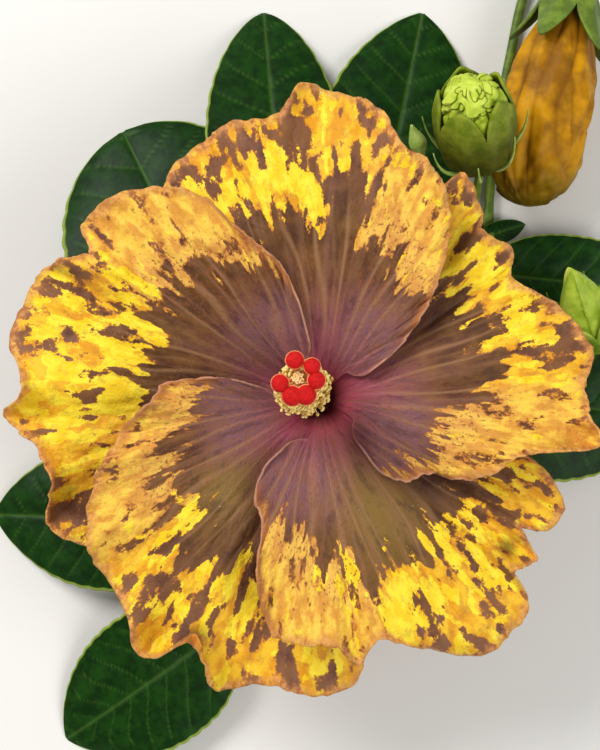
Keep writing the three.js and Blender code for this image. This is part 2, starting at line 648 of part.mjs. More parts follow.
// The stalk of the open bloom rises from the stem and turns up under the receptacle.
function bloomStalk(stem, stemSolid) {
  const start = stem.getPointAt(0.31);
  const curve = new THREE.CubicBezierCurve3(
    start,
    new THREE.Vector3(start.x + 12, start.y + 4, 9),
    new THREE.Vector3(0, 0, 7),
    new THREE.Vector3(0, 0, RECEPTACLE_FOOT - STEM_CLEARANCE),
  );
  const solid = solidOf(limb(curve, (t) => 2 + 0.4 * t, 8, 12)).subtract(stemSolid);
  return meshOf("bloom_stalk", geometryFrom(solid), COLOURS.calyx);
}

const branch = new THREE.Group();
const stem = stemCurve();
const stemClear = solidOf(skin(stemRings(stem, STEM_CLEARANCE, 24)));
branch.add(meshOf("stem", skin(stemRings(stem, 0, 24)), COLOURS.stem));
branch.add(bloomStalk(stem, stemClear), receptacle(), calyx(), column(), stigmas());
for (const shape of PETALS) branch.add(petal(shape));
for (const shape of LEAVES) branch.add(leaf(shape, stem, stemClear));
branch.add(...largeBud(stem, stemClear), ...sideBud(stem, stemClear), ...furledBloom(stemClear));
branch.add(tinyBud(stem, stemClear));

const footprint = new THREE.Box3().setFromObject(branch, true);
const centre = footprint.getCenter(new THREE.Vector3());
branch.position.set(-centre.x, -centre.y, -footprint.min.z);

export default branch;
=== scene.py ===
import math

import bpy
import numpy as np
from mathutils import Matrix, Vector


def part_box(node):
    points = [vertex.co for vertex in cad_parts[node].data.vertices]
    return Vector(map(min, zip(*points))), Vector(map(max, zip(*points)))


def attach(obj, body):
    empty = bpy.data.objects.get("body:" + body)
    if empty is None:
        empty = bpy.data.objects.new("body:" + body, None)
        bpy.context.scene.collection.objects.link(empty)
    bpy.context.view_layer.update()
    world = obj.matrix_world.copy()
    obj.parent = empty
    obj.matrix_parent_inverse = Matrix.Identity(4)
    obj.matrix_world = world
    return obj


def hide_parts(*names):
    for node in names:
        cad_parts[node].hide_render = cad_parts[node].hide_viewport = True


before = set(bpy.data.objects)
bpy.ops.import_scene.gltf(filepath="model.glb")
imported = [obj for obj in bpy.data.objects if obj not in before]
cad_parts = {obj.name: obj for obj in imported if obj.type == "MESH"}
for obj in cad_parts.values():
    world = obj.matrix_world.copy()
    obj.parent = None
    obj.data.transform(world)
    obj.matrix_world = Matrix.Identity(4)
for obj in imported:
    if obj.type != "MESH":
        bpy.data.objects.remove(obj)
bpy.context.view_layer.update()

# A cut hibiscus branch with one open bloom, looked at from straight above. Shapes are worked out in
# millimetres from the foot of the bloom's axis and then moved into the row frame, in metres.
axis_low, axis_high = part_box("receptacle")
AXIS = np.array([(axis_low.x + axis_high.x) / 2, (axis_low.y + axis_high.y) / 2, 0.0])
MM = 0.001
DEGREE = math.pi / 180
TURN = 2 * math.pi
UP = np.array([0, 0, 1.0])
GOLDEN_ANGLE = 137.5  # degrees from one to the next in a natural spiral

# The bowl of the open bloom
RIM_HEIGHT = 66
THROAT_DEPTH = 22
THROAT_SPREAD = 4.5
BOWL_DEPTH = 14
BOWL_SPREAD = 16
FLAT_REACH = 45
BEND_BACK = 5
BEND_SPREAD = 40

# A petal: its narrow claw, which widens into the blade
CLAW_START = 4.2
CLAW_FOOT = 2.7
CLAW_HALF_WIDTH = 2.4
CLAW_REACH = 10
CLAW_END_HALF_WIDTH = 7.2
CLAW_SHOULDER = 1.5
CLAW_SHARE = 0.16
CLAW_BEND = 0.1  # how far the turn from claw to blade is spread
FLANK_SWELL = 1.3
FLANK_SHARE = 0.12  # of the rim, where its waves and curls fade out toward the throat
PETAL_THICKNESS = 0.55
PETAL_ROLL = 10  # degrees, so that each petal dips under one neighbour and lies over the other
PETAL_ROWS = 112
PETAL_COLUMNS = 220
RISE_POWER = 3

# The relief of a petal, in millimetres
RIM_JAG, FINE_JAG = 0.7, 0.45
RUFFLE, FINE_RUFFLE = 2.3, 1.2
RIB = 0.42
CRINKLE = 0.22
SWELL = 1.3
CURL_DEPTH = 9
LEAST_CURL = 1e-4  # turn per millimetre

# Paint and skins
BLOTCH_SHARPNESS = 0.7
SKIN_RELIEF = 0.0004  # in metres
STREAKS_START, STREAKS_APART = 200, 37  # degrees, so that no two petals share their streaks

# What stands in the middle of the bloom
COLUMN_FOOT = 29.75
COLUMN_TOP = 99
COLUMN_LEAN = (-5.5, 6.2)
COLUMN_RADIUS = 2.3
COLUMN_TAPER = 0.8
STAMEN_COUNT = 520
STAMENS_START = 0.6  # of the column's length
STAMENS_SPAN = 0.385
STAMEN_REACH = 7.2
STAMEN_TAPER = 3.2
FILAMENT_RADIUS = 0.17
ANTHER = np.array([0.5, 0.43, 0.74])
STIGMA_ANGLES = (100, 40, -6, -64, -108, 196)
STIGMA_SIZES = (1.0, 0.94, 1.0, 1.14, 1.14, 1.0)
STIGMA_RING = 4.5
STIGMA_HEIGHT = 4.2
STIGMA_RADIUS = 2.35
TUFT_COUNT = 20

# The calyx of the open bloom and the round base below it, as radii and heights
CALYX_WALL = 0.8
LOBES = 5
CALYX_SPIN = 124
CALYX_PROFILE = ((6.9, 25), (8.4, 31), (9.9, 39), (11.8, 45), (15, 49.5), (19, 52.5))
BLOOM_BASE = ((2.6, 19.5), (3.6, 20.6), (5.0, 22.4), (5.6, 24), (5.6, 27), (5.2, 28.8), (4.4, 29.2))

# The stem, which lies on the floor
STEM_RADIUS = 4.1
STEM_TIP_RADIUS = 2.5
STEM_NODES = ((-8, -78), (-10.5, -56), (-6, -34), (-9, -12), (2, 8), (18, 24), (34, 39), (50, 52))
STALK_CLEARANCE = 0.25
PETIOLE_CLEARANCE = 0.2
BLOOM_STALK_AT, TINY_BUD_AT = 0.31, 0.9  # of the stem's length

# Each leaf: share of the stem's length, heading, turn of the blade, petiole length, blade length and
# width, height of the blade's foot and arch, tilt, wave and bluntness.
LEAVES = {
    "leaf_upper_left": (0.4, 117, 0, 29, 81, 66, 12, 3, 0, 2, 1),
    "leaf_top": (0.5, 96, -1, 36, 84, 40, 19, 5, 0.04, 1.6, 0.6),
    "leaf_top_right": (0.68, 81, -3, 26, 74, 47, 9, 2, 0, 1.5, 0.3),
    "leaf_right": (0.86, -2, -4, 18, 58, 28, 8, 2, 0, 1.5, 0.3),
    "leaf_small": (0.94, 14, 6, 7, 15, 7, 7, 1, 0, 0.3, 0),
    "leaf_lower_right": (0.56, -6, 0, 42, 66, 46, 7, 1.5, 0, 1.8, 0.3),
    "leaf_left": (0.29, 184, -4, 26, 66, 44, 10, 3, 0, 1.8, 0.3),
    "leaf_lower_left": (0.13, 212, 4, 20, 60, 42, 9, 3, 0, 1.7, 0.3),
}
LEAF_TIP_HEIGHT = 0.5
LEAF_THICKNESS = 0.5
LEAF_LEAST_HEIGHT = 0.35
LEAF_ROWS, LEAF_COLUMNS = 90, 65
LEAF_TEETH = 0.022
SIDE_VEINS = 8.5  # along a leaf
PETIOLE_RADIUS = 1.4

# The buds and the furled bloom: where each begins and ends, and how thick it is
LARGE_FOOT, LARGE_TIP, LARGE_RADIUS = (47, 68.5, 25), (41.5, 86.5, 53), 11.2
SIDE_FOOT, SIDE_TIP, SIDE_RADIUS = (82, 16.5, 17), (71.4, 36, 42), 9
TINY_FOOT, TINY_TIP, TINY_RADIUS = (31, 72, 17), (27.5, 80, 22), 2.6
FURLED_FOOT, FURLED_TIP = (75.8, 121.8, 17.7), (61, 57.5, 16)
FURLED_PROFILE = ((3.6, 0.1), (6.8, 9), (11.3, 21), (14, 34), (14.4, 48), (12.4, 58), (8, 64), (2.5, 66.3))
FURLED_FOOT_RING = ((3.1, -0.8), (4.3, -0.5), (5.2, 0.3), (5.4, 1.4), (5.0, 1.8))
FURLED_CALYX = ((4.9, 0.8), (7.6, 3.5), (9.3, 8), (11.6, 13), (14.6, 19))
FURLED_STALK = (
    (53, 66, 1.8), (55, 82, 1.8), (59, 104, 1.8), (64, 125, 2.4), (71, 136.5, 6.5), (76.5, 138, 13),
)
BUD_STALK_RADIUS = 1.3
FURLED_STALK_RADIUS = 1.5
TINY_STALK_RADIUS = 0.7

# The light: name, place, diameter and power of each lamp
LAMPS = (("key_light", (-0.62, 0.58, 0.86), 0.6, 12.6), ("fill_light", (0.7, -0.4, 0.9), 0.9, 8))
LIT_POINT = (0, 0, 0.05)
ROOM_LIGHT = 0.38
ROOM_COLOUR = (0.97, 0.98, 1.0, 1)
FLOOR_HALF = 3

# The camera, straight above and a little aside, at the photograph's scale
CAMERA_HEIGHT = 500
CAMERA_ASIDE = (-5, 7)
HALF_FRAME = 375  # of the photograph's height, in its pixels
PIXEL_SIZE = 0.27  # in millimetres, on the petals
PIXEL_SIZE_HEIGHT = 58
SENSOR = 36


def eased(t):
    return t * t * (3 - 2 * t)


def ramp(low, high, x):
    return eased(np.clip((np.asarray(x, float) - low) / (high - low), 0, 1))


def unit(vector):
    return vector / np.linalg.norm(vector)


# The flat direction at an angle.
def level(angle):
    return np.array([math.cos(angle), math.sin(angle), 0])


# Smooth random numbers between -1 and 1 over a plane, from a seeded lattice. With wrap, they repeat
# along x after that many cells.
LATTICE_SIZE = 128
LATTICE = np.random.default_rng(11).random((LATTICE_SIZE, LATTICE_SIZE)) * 2 - 1
ROWS_PER_SEED = 7.37
COLUMNS_PER_SEED = 13


def wander(x, y, seed, wrap=None):
    x = np.asarray(x, float)
    y = np.asarray(y, float) + seed * ROWS_PER_SEED
    i = np.floor(x).astype(int)
    j = np.floor(y).astype(int)
    fx = eased(x - i)
    fy = eased(y - j)
    span = wrap or LATTICE_SIZE
    shift = 0 if wrap else seed * COLUMNS_PER_SEED
    i0 = (i % span + shift) % LATTICE_SIZE
    i1 = ((i + 1) % span + shift) % LATTICE_SIZE
    j0 = j % LATTICE_SIZE
    j1 = (j + 1) % LATTICE_SIZE
    low = LATTICE[i0, j0] * (1 - fx) + LATTICE[i1, j0] * fx
    high = LATTICE[i0, j1] * (1 - fx) + LATTICE[i1, j1] * fx
    return low * (1 - fy) + high * fy


# A smooth curve through points, at shares of its knots from 0 to 1. A plain one takes all its spans as
# equally long, and isn't carried on past its ends.
def curve(points, shares, plain=False):
    points = np.array(points, float)
    last = len(points) - 1
    place = np.atleast_1d(np.asarray(shares, float)) * last
    i = np.minimum(np.floor(place).astype(int), last - 1)
    w = (place - i)[:, None]
    before, after = points[0], points[-1]
    if not plain:
        before, after = 2 * points[0] - points[1], 2 * points[-1] - points[-2]
    padded = np.vstack([before, points, after])
    knots = [padded[i + k] for k in range(4)]
    p0, p1, p2, p3 = knots
    spans = [np.linalg.norm(b - a, axis=1)[:, None] ** 0.5 for a, b in zip(knots, knots[1:])]
    d0, d1, d2 = (1, 1, 1) if plain else spans
    t1 = ((p1 - p0) / d0 - (p2 - p0) / (d0 + d1) + (p2 - p1) / d1) * d1
    t2 = ((p2 - p1) / d1 - (p3 - p1) / (d1 + d2) + (p3 - p2) / d2) * d1
    c2 = -3 * p1 + 3 * p2 - 2 * t1 - t2
    c3 = 2 * p1 - 2 * p2 + t1 + t2
    return p1 + t1 * w + c2 * w**2 + c3 * w**3


# The same, at shares of its length.
def curve_along(points, shares):
    dense = curve(points, np.linspace(0, 1, 600))
    lengths = np.concatenate([[0], np.cumsum(np.linalg.norm(np.diff(dense, axis=0), axis=1))])
    lengths /= lengths[-1]
    shares = np.atleast_1d(shares)
    return np.stack([np.interp(shares, lengths, dense[:, k]) for k in range(3)], axis=1)


def bezier(controls, shares):
    controls = np.array(controls, float)
    shares = np.asarray(shares, float)[:, None]
    degree = len(controls) - 1
    return sum(
        math.comb(degree, k) * (1 - shares) ** (degree - k) * shares**k * controls[k]
        for k in range(degree + 1)
    )


# Points round an oval, from its two half axes.
def oval(side, other, count):
    angles = np.linspace(0, TURN, count, endpoint=False)[:, None]
    return np.cos(angles) * side + np.sin(angles) * other


# Faces of a grid of points, with rows from start on, and its columns closed up if around is set.
def grid_faces(rows, columns, start=0, around=False, flip=False):
    i, j = np.meshgrid(np.arange(rows - 1), np.arange(columns if around else columns - 1), indexing="ij")
    k = (j + 1) % columns
    quads = np.stack([i * columns + j, (i + 1) * columns + j, (i + 1) * columns + k, i * columns + k], -1)
    quads = quads.reshape(-1, 4) + start
    return quads[:, ::-1] if flip else quads


# Normals of a grid of points.
def grid_normals(points, around):
    down = np.gradient(points, axis=0)
    if around:
        over = (np.roll(points, -1, axis=1) - np.roll(points, 1, axis=1)) / 2
    else:
        over = np.gradient(points, axis=1)
    normals = np.cross(down, over)
    return normals / np.maximum(np.linalg.norm(normals, axis=2, keepdims=True), 1e-9)


# Every shape below is points in millimetres, faces, the place of each face's material in the piece's
# list, and paint: named numbers that the points carry to the materials.

# A thin closed sheet round a grid of points, with material 0 in front and at its edges, 1 at the back.
def thin_sheet(points, thickness, paint, around=False):
    rows, columns = points.shape[:2]
    count = rows * columns
    half = grid_normals(points, around) * (thickness / 2)
    front_faces = grid_faces(rows, columns, around=around)
    back_faces = grid_faces(rows, columns, count, around=around, flip=True)
    span = np.arange(columns if around else columns - 1)
    step = (span + 1) % columns
    last = (rows - 1) * columns
    sides = [(span, step), (last + step, last + span)]
    if not around:
        down = np.arange(rows - 1) * columns
        sides += [(down + columns, down), (down + columns - 1, down + 2 * columns - 1)]
    edges = np.vstack([np.stack([a, b, b + count, a + count], -1) for a, b in sides])
    return {
        "points": np.vstack([(points + half).reshape(-1, 3), (points - half).reshape(-1, 3)]),
        "faces": list(map(tuple, np.vstack([front_faces, back_faces, edges]))),
        "looks": np.repeat([0, 1, 0], [len(front_faces), len(back_faces), len(edges)]),
        "paint": {
            key: np.tile(np.broadcast_to(values, (rows, columns)).ravel(), 2) for key, values in paint.items()
        },
    }


# A closed body through rings of points.
def ring_body(rings, look=0, paint=None):
    rows, columns = rings.shape[:2]
    faces = list(map(tuple, grid_faces(rows, columns, around=True, flip=True)))
    faces.append(tuple(range(columns - 1, -1, -1)))
    faces.append(tuple(range((rows - 1) * columns, rows * columns)))
    carried = {key: values.ravel() for key, values in (paint or {}).items()}
    looks = np.full(len(faces), look)
    return {"points": rings.reshape(-1, 3), "faces": faces, "looks": looks, "paint": carried}


# A round limb along a path, with a radius for each of its points. Its rings turn with the path.
def limb(path, radii, sides, look=0):
    path = np.array(path, float)
    tangents = np.gradient(path, axis=0)
    tangents /= np.linalg.norm(tangents, axis=1)[:, None]
    side = unit(np.cross(tangents[0], [0.31, 0.17, 0.93]))
    rings = []
    for centre, tangent, radius in zip(path, tangents, np.broadcast_to(radii, len(path))):
        side = unit(side - tangent * np.dot(side, tangent))
        rings.append(centre + radius * oval(side, np.cross(tangent, side), sides))
    return ring_body(np.array(rings), look)


# A ball, squashed by scale and turned so that its z axis lies along direction.
def ball(centre, scale, direction, rows, sides, look=0):
    direction = unit(np.array(direction, float))
    side = unit(np.cross(direction, [1.0, 0, 0] if abs(direction[0]) < 0.8 else [0, 1.0, 0]))
    ring = oval(side * scale[0], np.cross(direction, side) * scale[1], sides)
    polar = np.linspace(0.12, math.pi - 0.12, rows)
    rings = [centre - direction * math.cos(p) * scale[2] + math.sin(p) * ring for p in polar]
    return ring_body(np.array(rings), look)


# A solid turned round +Z from radii and heights.
def turned_solid(profile):
    rings = [oval(level(0) * r, level(math.pi / 2) * r, 28) + UP * z for r, z in profile]
    return ring_body(np.array(rings))


def joined(parts):
    counts = [len(part["points"]) for part in parts]
    starts = np.cumsum([0, *counts])
    keys = sorted({key for part in parts for key in part["paint"]})
    paint = {
        key: np.concatenate([part["paint"].get(key, np.zeros(count)) for part, count in zip(parts, counts)])
        for key in keys
    }
    return {
        "points": np.vstack([part["points"] for part in parts]),
        "faces": [
            tuple(int(v) + start for v in face)
            for part, start in zip(parts, starts)
            for face in part["faces"]
        ],
        "looks": np.concatenate([part["looks"] for part in parts]),
        "paint": paint,
    }


def piece(name, part, nodes, materials):
    mesh = bpy.data.meshes.new(name)
    mesh.from_pydata((part["points"] * MM + AXIS).tolist(), [], [list(map(int, f)) for f in part["faces"]])
    mesh.polygons.foreach_set("use_smooth", np.ones(len(mesh.polygons), bool))
    mesh.polygons.foreach_set("material_index", part["looks"].astype(np.int32))
    for material in materials:
        mesh.materials.append(material)
    for key, values in part["paint"].items():
        mesh.attributes.new(key, "FLOAT", "POINT").data.foreach_set("value", values.astype(np.float32))
    mesh.update()
    made = bpy.data.objects.new(name, mesh)
    bpy.context.scene.collection.objects.link(made)
    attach(made, "root")
    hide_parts(*nodes)


# Materials. A colour is given as red, green and blue from 0 to 255.
def linear(red, green, blue):
    return tuple(((c / 255) ** 2.2) for c in (red, green, blue)) + (1.0,)


# What a node of a material gives. Sums and products with it are nodes too.
class Value:
    def __init__(self, look, socket):
        self.look = look
        self.socket = socket

    def __add__(self, other):
        return self.look.math("ADD", self, other)

    def __sub__(self, other):
        return self.look.math("SUBTRACT", self, other)

    def __rsub__(self, other):
        return self.look.math("SUBTRACT", other, self)

    def __mul__(self, other):
        return self.look.math("MULTIPLY", self, other)

    def __truediv__(self, other):
        return self.look.math("DIVIDE", self, other)


class Looks:
    def __init__(self, name, roughness, sheen=0.0, specular=0.3):
        self.material = bpy.data.materials.new(name)
        self.material.use_nodes = True
        self.tree = self.material.node_tree
        self.shader = self.tree.nodes["Principled BSDF"]
        self.shader.inputs["Roughness"].default_value = roughness
        self.shader.inputs["Sheen Weight"].default_value = sheen
        self.shader.inputs["Specular IOR Level"].default_value = specular

    # Sets an input to a number or a colour, or joins it to what another node gives.
    def put(self, socket, value):
        if isinstance(value, Value):
            self.tree.links.new(value.socket, socket)
        else:
            socket.default_value = linear(*value) if isinstance(value, tuple) else value

    def node(self, kind, inputs, output=0, **settings):
        node = self.tree.nodes.new("ShaderNode" + kind)
        for key, setting in settings.items():
            setattr(node, key, setting)
        for key, value in inputs.items():
            self.put(node.inputs[key], value)
        return Value(self, node.outputs[output])

    def paint(self, *names):
        return [self.node("Attribute", {}, "Fac", attribute_name=name) for name in names]

    def math(self, operation, *numbers):
        return self.node("Math", dict(enumerate(numbers)), operation=operation)

    def vector(self, x, y):
        return self.node("CombineXYZ", {0: x, 1: y})

    def noise(self, at, scale, detail, rough):
        inputs = {"Vector": at, "Scale": scale, "Detail": detail, "Roughness": rough}
        return self.node("TexNoise", inputs, "Fac")

    def grain(self, scale):
        return self.noise(self.node("TexCoord", {}, "Object"), scale, 3.0, 0.6)

    # Sparse small dots: 1 inside a dot, 0 elsewhere.
    def dots(self, at, radius, share):
        distance = self.node("TexVoronoi", {"Vector": at, "Scale": 1.0}, "Distance")
        chance = self.node("SeparateXYZ", {0: Value(self, distance.socket.node.outputs["Color"])})
        return self.math("LESS_THAN", distance, radius) * self.math("LESS_THAN", chance, share)

    def step(self, value, low, high, start=0.0, end=1.0):
        inputs = {"Value": value, "From Min": low, "From Max": high, "To Min": start, "To Max": end}
        return self.node("MapRange", inputs, interpolation_type="SMOOTHSTEP")

    def mix(self, share, a, b):
        return self.node("Mix", {"Factor": share, 6: a, 7: b}, 2, data_type="RGBA")

    def bands(self, value, stops):
        made = self.node("ValToRGB", {0: value})
        elements = made.socket.node.color_ramp.elements
        while len(elements) < len(stops):
            elements.new(0.5)
        for element, (place, colour) in zip(elements, stops):
            element.position = place
            element.color = linear(*colour)
        return made

    # Gives the shader its colour and its relief, and ends the material.
    def finished(self, colour, height, strength, distance):
        self.put(self.shader.inputs["Base Color"], colour)
        bump = self.node("Bump", {"Strength": strength, "Distance": distance, "Height": height})
        self.put(self.shader.inputs["Normal"], bump)
        return self.material


# The bands of a petal's ground colour from the throat outward, as shares of this reach.
GROUND_REACH = 90.0
# The first two bands hold the throat's own crimson and pink, painted lighter as painted light where the deep
# throat lies in shade.
GROUND = (
    (0.04, (172, 46, 68)), (0.1, (184, 76, 98)), (0.16, (158, 78, 96)), (0.24, (132, 74, 78)),
    (0.36, (98, 58, 36)), (0.5, (88, 56, 24)), (0.7, (108, 70, 46)), (1.0, (138, 92, 66)),
)
# The veins of a petal, in two orders: degrees apart, where they begin, are full, fade and end, strength.
VEINS = ((9.5, 7.0, 16.0, 38.0, 64.0, 0.62), (4.75, 24.0, 34.0, 46.0, 66.0, 0.22))
VEIN_HALF_WIDTH = 0.85
VEIN_BEND = 16.0


# The front of a petal. Its paint holds degrees clockwise, millimetres from the bloom's axis and from the
# rim, how warm, how lemon and how apricot it is, and where the other tints and the painted shade lie.
def petal_front():
    look = Looks("petal_front", 0.6, sheen=0.04, specular=0.22)
    turn, reach, rim, warm, lemon, apricot = look.paint("turn", "reach", "rim", "warm", "lemon", "apricot")
    mauve, olive, pocket, specks, flecks = look.paint("mauve", "olive", "pocket", "specks", "flecks")
    under, rusty = look.paint("under", "rusty")

    def at(across, along):
        return look.vector(turn * across, reach * along)

    def streaks(across, along, detail, rough):
        return look.noise(at(across, along), 1.0, detail, rough)

    def tinted(base, share, strength, colour):
        return look.mix(share * strength, base, colour)

    ground = look.bands(reach / GROUND_REACH, GROUND)
    ground = tinted(ground, mauve, 0.8, (124, 84, 92))
    ground = tinted(ground, olive, 0.8, (138, 112, 54))
    mottle = streaks(0.16, 0.12, 4.0, 0.65)
    ground = tinted(ground, look.step(mottle, 0.44, 0.66), 0.5, (128, 88, 46))
    ground = tinted(ground, look.step(mottle, 0.5, 0.36), 0.5, (64, 36, 28))
    # Soft brush of the veins, then the main veins, which bend a little on the way out.
    brush = streaks(0.3, 0.02, 2.0, 0.5)
    ground = tinted(ground, look.step(brush, 0.48, 0.68), 0.25, (148, 102, 84))
    bent = turn + (streaks(0.07, 0.03, 0.0, 0.5) - 0.5) * VEIN_BEND
    for spacing, first, full, fade, gone, strength in VEINS:
        off = look.math("PINGPONG", bent, spacing / 2) * (reach * DEGREE)
        line = look.step(off, 0.0, VEIN_HALF_WIDTH, 1.0, 0.0)
        seen = look.step(reach, first, full) * look.step(reach, fade, gone, 1.0, 0.0)
        colour = look.mix(look.step(reach, 10.0, 28.0), (178, 102, 110), (146, 106, 72))
        ground = tinted(ground, line * seen, strength, colour)
    # Painted shade where the next petal lies over this one.
    ground = tinted(ground, under, 0.5, (50, 24, 26))
    # The warm blotches: tan and golden, with lemon ones over them.
    fine = streaks(0.9, 0.55, 4.0, 0.7)
    coarse = streaks(0.3, 0.14, 3.0, 0.6)
    heat = warm + (fine - 0.5) * 3.0
    tan = look.mix(look.step(coarse, 0.4, 0.6), (210, 146, 52), (242, 196, 70))
    tan = tinted(tan, specks, 0.4, (196, 136, 82))
    golden = look.mix(look.step(coarse, 0.4, 0.6), (214, 146, 28), (234, 182, 42))
    golden = look.mix(apricot, golden, tan)
    golden = look.mix(look.step(heat, 0.02, 0.4), (168, 100, 44), golden)
    surface = look.mix(look.step(heat, -0.14, 0.1), ground, golden)
    shine = lemon + (streaks(0.8, 0.34, 3.0, 0.65) - 0.5) * 2.6
    shine_cover = look.step(shine, -0.1, 0.14) * look.step(heat, 0.0, 0.3)
    yellow = look.mix(look.step(coarse, 0.38, 0.6), (234, 192, 28), (244, 216, 54))
    surface = look.mix(shine_cover, surface, yellow)
    # A thin brown veil here and there over the warm parts.
    veil = look.step(streaks(0.5, 0.3, 4.0, 0.7), 0.5, 0.66) * look.step(heat, 0.0, 0.5)
    surface = tinted(surface, veil * (1.0 - apricot * 0.5), 0.4, (160, 108, 52))
    # Fine brown speckles over the apricot sides, and a tan edge of uneven width.
    speck = look.step(streaks(1.0, 0.7, 3.0, 0.65), 0.55, 0.62)
    surface = tinted(surface, speck * specks, 0.85, (126, 72, 42))
    edge_width = streaks(0.25, 0.0, 3.0, 0.6) * 11.0 - 3.2
    edge = look.step(rim - edge_width, -1.6, 1.0, 1.0, 0.0) * look.step(reach, 24.0, 36.0)
    edge_colour = look.mix(look.step(fine, 0.4, 0.6), (176, 108, 56), (214, 152, 88))
    surface = tinted(surface, edge, 0.75, edge_colour)
    # Rusty crumpled edges along the clockwise sides.
    rust_width = streaks(0.22, 0.0, 3.0, 0.6) * 9.0 - 1.0
    rust = look.step(rim - rust_width, -2.0, 1.5, 1.0, 0.0) * look.step(fine, 0.36, 0.56)
    surface = tinted(surface, rust * rusty, 0.8, (146, 82, 46))
    # A light fringe on the flanks near the throat, shadowed folds and a few pale flecks.
    fringe = look.step(rim, 0.9, 0.2) * look.step(reach, 9.0, 15.0) * look.step(reach, 38.0, 54.0, 1.0, 0.0)
    surface = tinted(surface, fringe, 0.55, (206, 150, 122))
    surface = tinted(surface, pocket, 0.8, (56, 28, 18))
    surface = tinted(surface, look.dots(at(0.55, 0.6), 0.1, 0.08) * flecks, 0.8, (236, 220, 200))
    return look.finished(surface, streaks(1.0, 0.8, 3.0, 0.6), 0.55, 0.0007)


def petal_back():
    look = Looks("petal_back", 0.65, sheen=0.05)
    turn, reach = look.paint("turn", "reach")
    strand = look.noise(look.vector(turn * 0.5, reach * 0.05), 1.0, 3.0, 0.6)
    warm = look.mix(look.step(strand, 0.35, 0.65), (184, 104, 26), (222, 150, 44))
    return look.finished(look.mix(look.step(reach, 12.0, 45.0), (150, 86, 70), warm), strand, 0.3, 0.0005)


# Plain plant skins with a mottle of two colours, and bumps along it.
def mottled(name, dark, light, scale, roughness, bump):
    look = Looks(name, roughness)
    grain = look.grain(scale)
    return look.finished(look.mix(look.step(grain, 0.35, 0.68), dark, light), grain, bump, SKIN_RELIEF)


# The same with a second pair of colours, and a darker colour painted into its creases as painted shade, both
# brought in by its paint.
def toned(name, low, high, crease, scale=240.0):
    look = Looks(name, 0.55, specular=0.15)
    tone, depth = look.paint("tone", "crease_depth")
    grain = look.step(look.grain(scale), 0.35, 0.68)
    colour = look.mix(tone, look.mix(grain, *low), look.mix(grain, *high))
    return look.finished(look.mix(depth, colour, crease), grain, 0.25, SKIN_RELIEF)


def leaf_front():
    look = Looks("leaf_front", 0.44, specular=0.11)
    across, vein = look.paint("across", "vein")
    grain = look.grain(260.0)
    surface = look.mix(look.step(grain, 0.3, 0.7), (16, 42, 10), (28, 62, 16))
    surface = look.mix(vein * 0.4, surface, (80, 116, 46))
    edge = look.step(look.math("ABSOLUTE", across), 0.955, 0.985)
    return look.finished(look.mix(edge * 0.8, surface, (150, 170, 70)), grain, 0.2, SKIN_RELIEF)


PETAL_LOOKS = [petal_front(), petal_back()]
SKIN_GREEN = mottled("green_skin", (78, 100, 28), (112, 134, 44), 220.0, 0.5, 0.2)
SKIN_OLIVE = toned("olive_skin", ((62, 64, 0), (84, 84, 2)), ((104, 122, 26), (138, 150, 48)), (40, 44, 6))
SKIN_PALE = mottled("pale_bract", (138, 164, 70), (176, 196, 104), 260.0, 0.5, 0.2)
SKIN_FRESH = mottled("fresh_green", (136, 162, 40), (170, 190, 62), 260.0, 0.5, 0.2)
SKIN_LIGHT = toned(
    "light_bract", ((84, 112, 10), (112, 140, 24)), ((190, 204, 76), (216, 224, 104)), (80, 100, 20)
)
BUD_LIME = toned("bud_lime", ((128, 150, 26), (170, 190, 50)), ((176, 196, 60), (206, 220, 90)), (78, 88, 10))
FURLED = toned("furled_skin", ((134, 88, 0), (202, 142, 10)), ((84, 70, 0), (122, 100, 0)), (88, 46, 2), 90.0)
BARK = mottled("bark", (84, 92, 50), (118, 112, 70), 400.0, 0.75, 0.5)
POLLEN = mottled("pollen", (228, 192, 96), (250, 230, 150), 900.0, 0.8, 0.4)
POLLEN_SHADE = mottled("pollen_shade", (176, 124, 50), (214, 168, 88), 900.0, 0.8, 0.4)
COLUMN_SKIN = mottled("column_skin", (150, 60, 70), (190, 110, 100), 300.0, 0.5, 0.1)
VELVET = mottled("velvet", (172, 6, 4), (208, 14, 10), 1400.0, 0.8, 0.5)
VELVET_RIM = mottled("velvet_rim", (226, 112, 66), (242, 164, 110), 900.0, 0.7, 0.3)
TUFT = mottled("tuft", (222, 180, 110), (244, 218, 160), 900.0, 0.8, 0.4)
LEAF_LOOKS = [leaf_front(), mottled("leaf_back", (70, 104, 52), (96, 130, 70), 200.0, 0.6, 0.25), SKIN_GREEN]


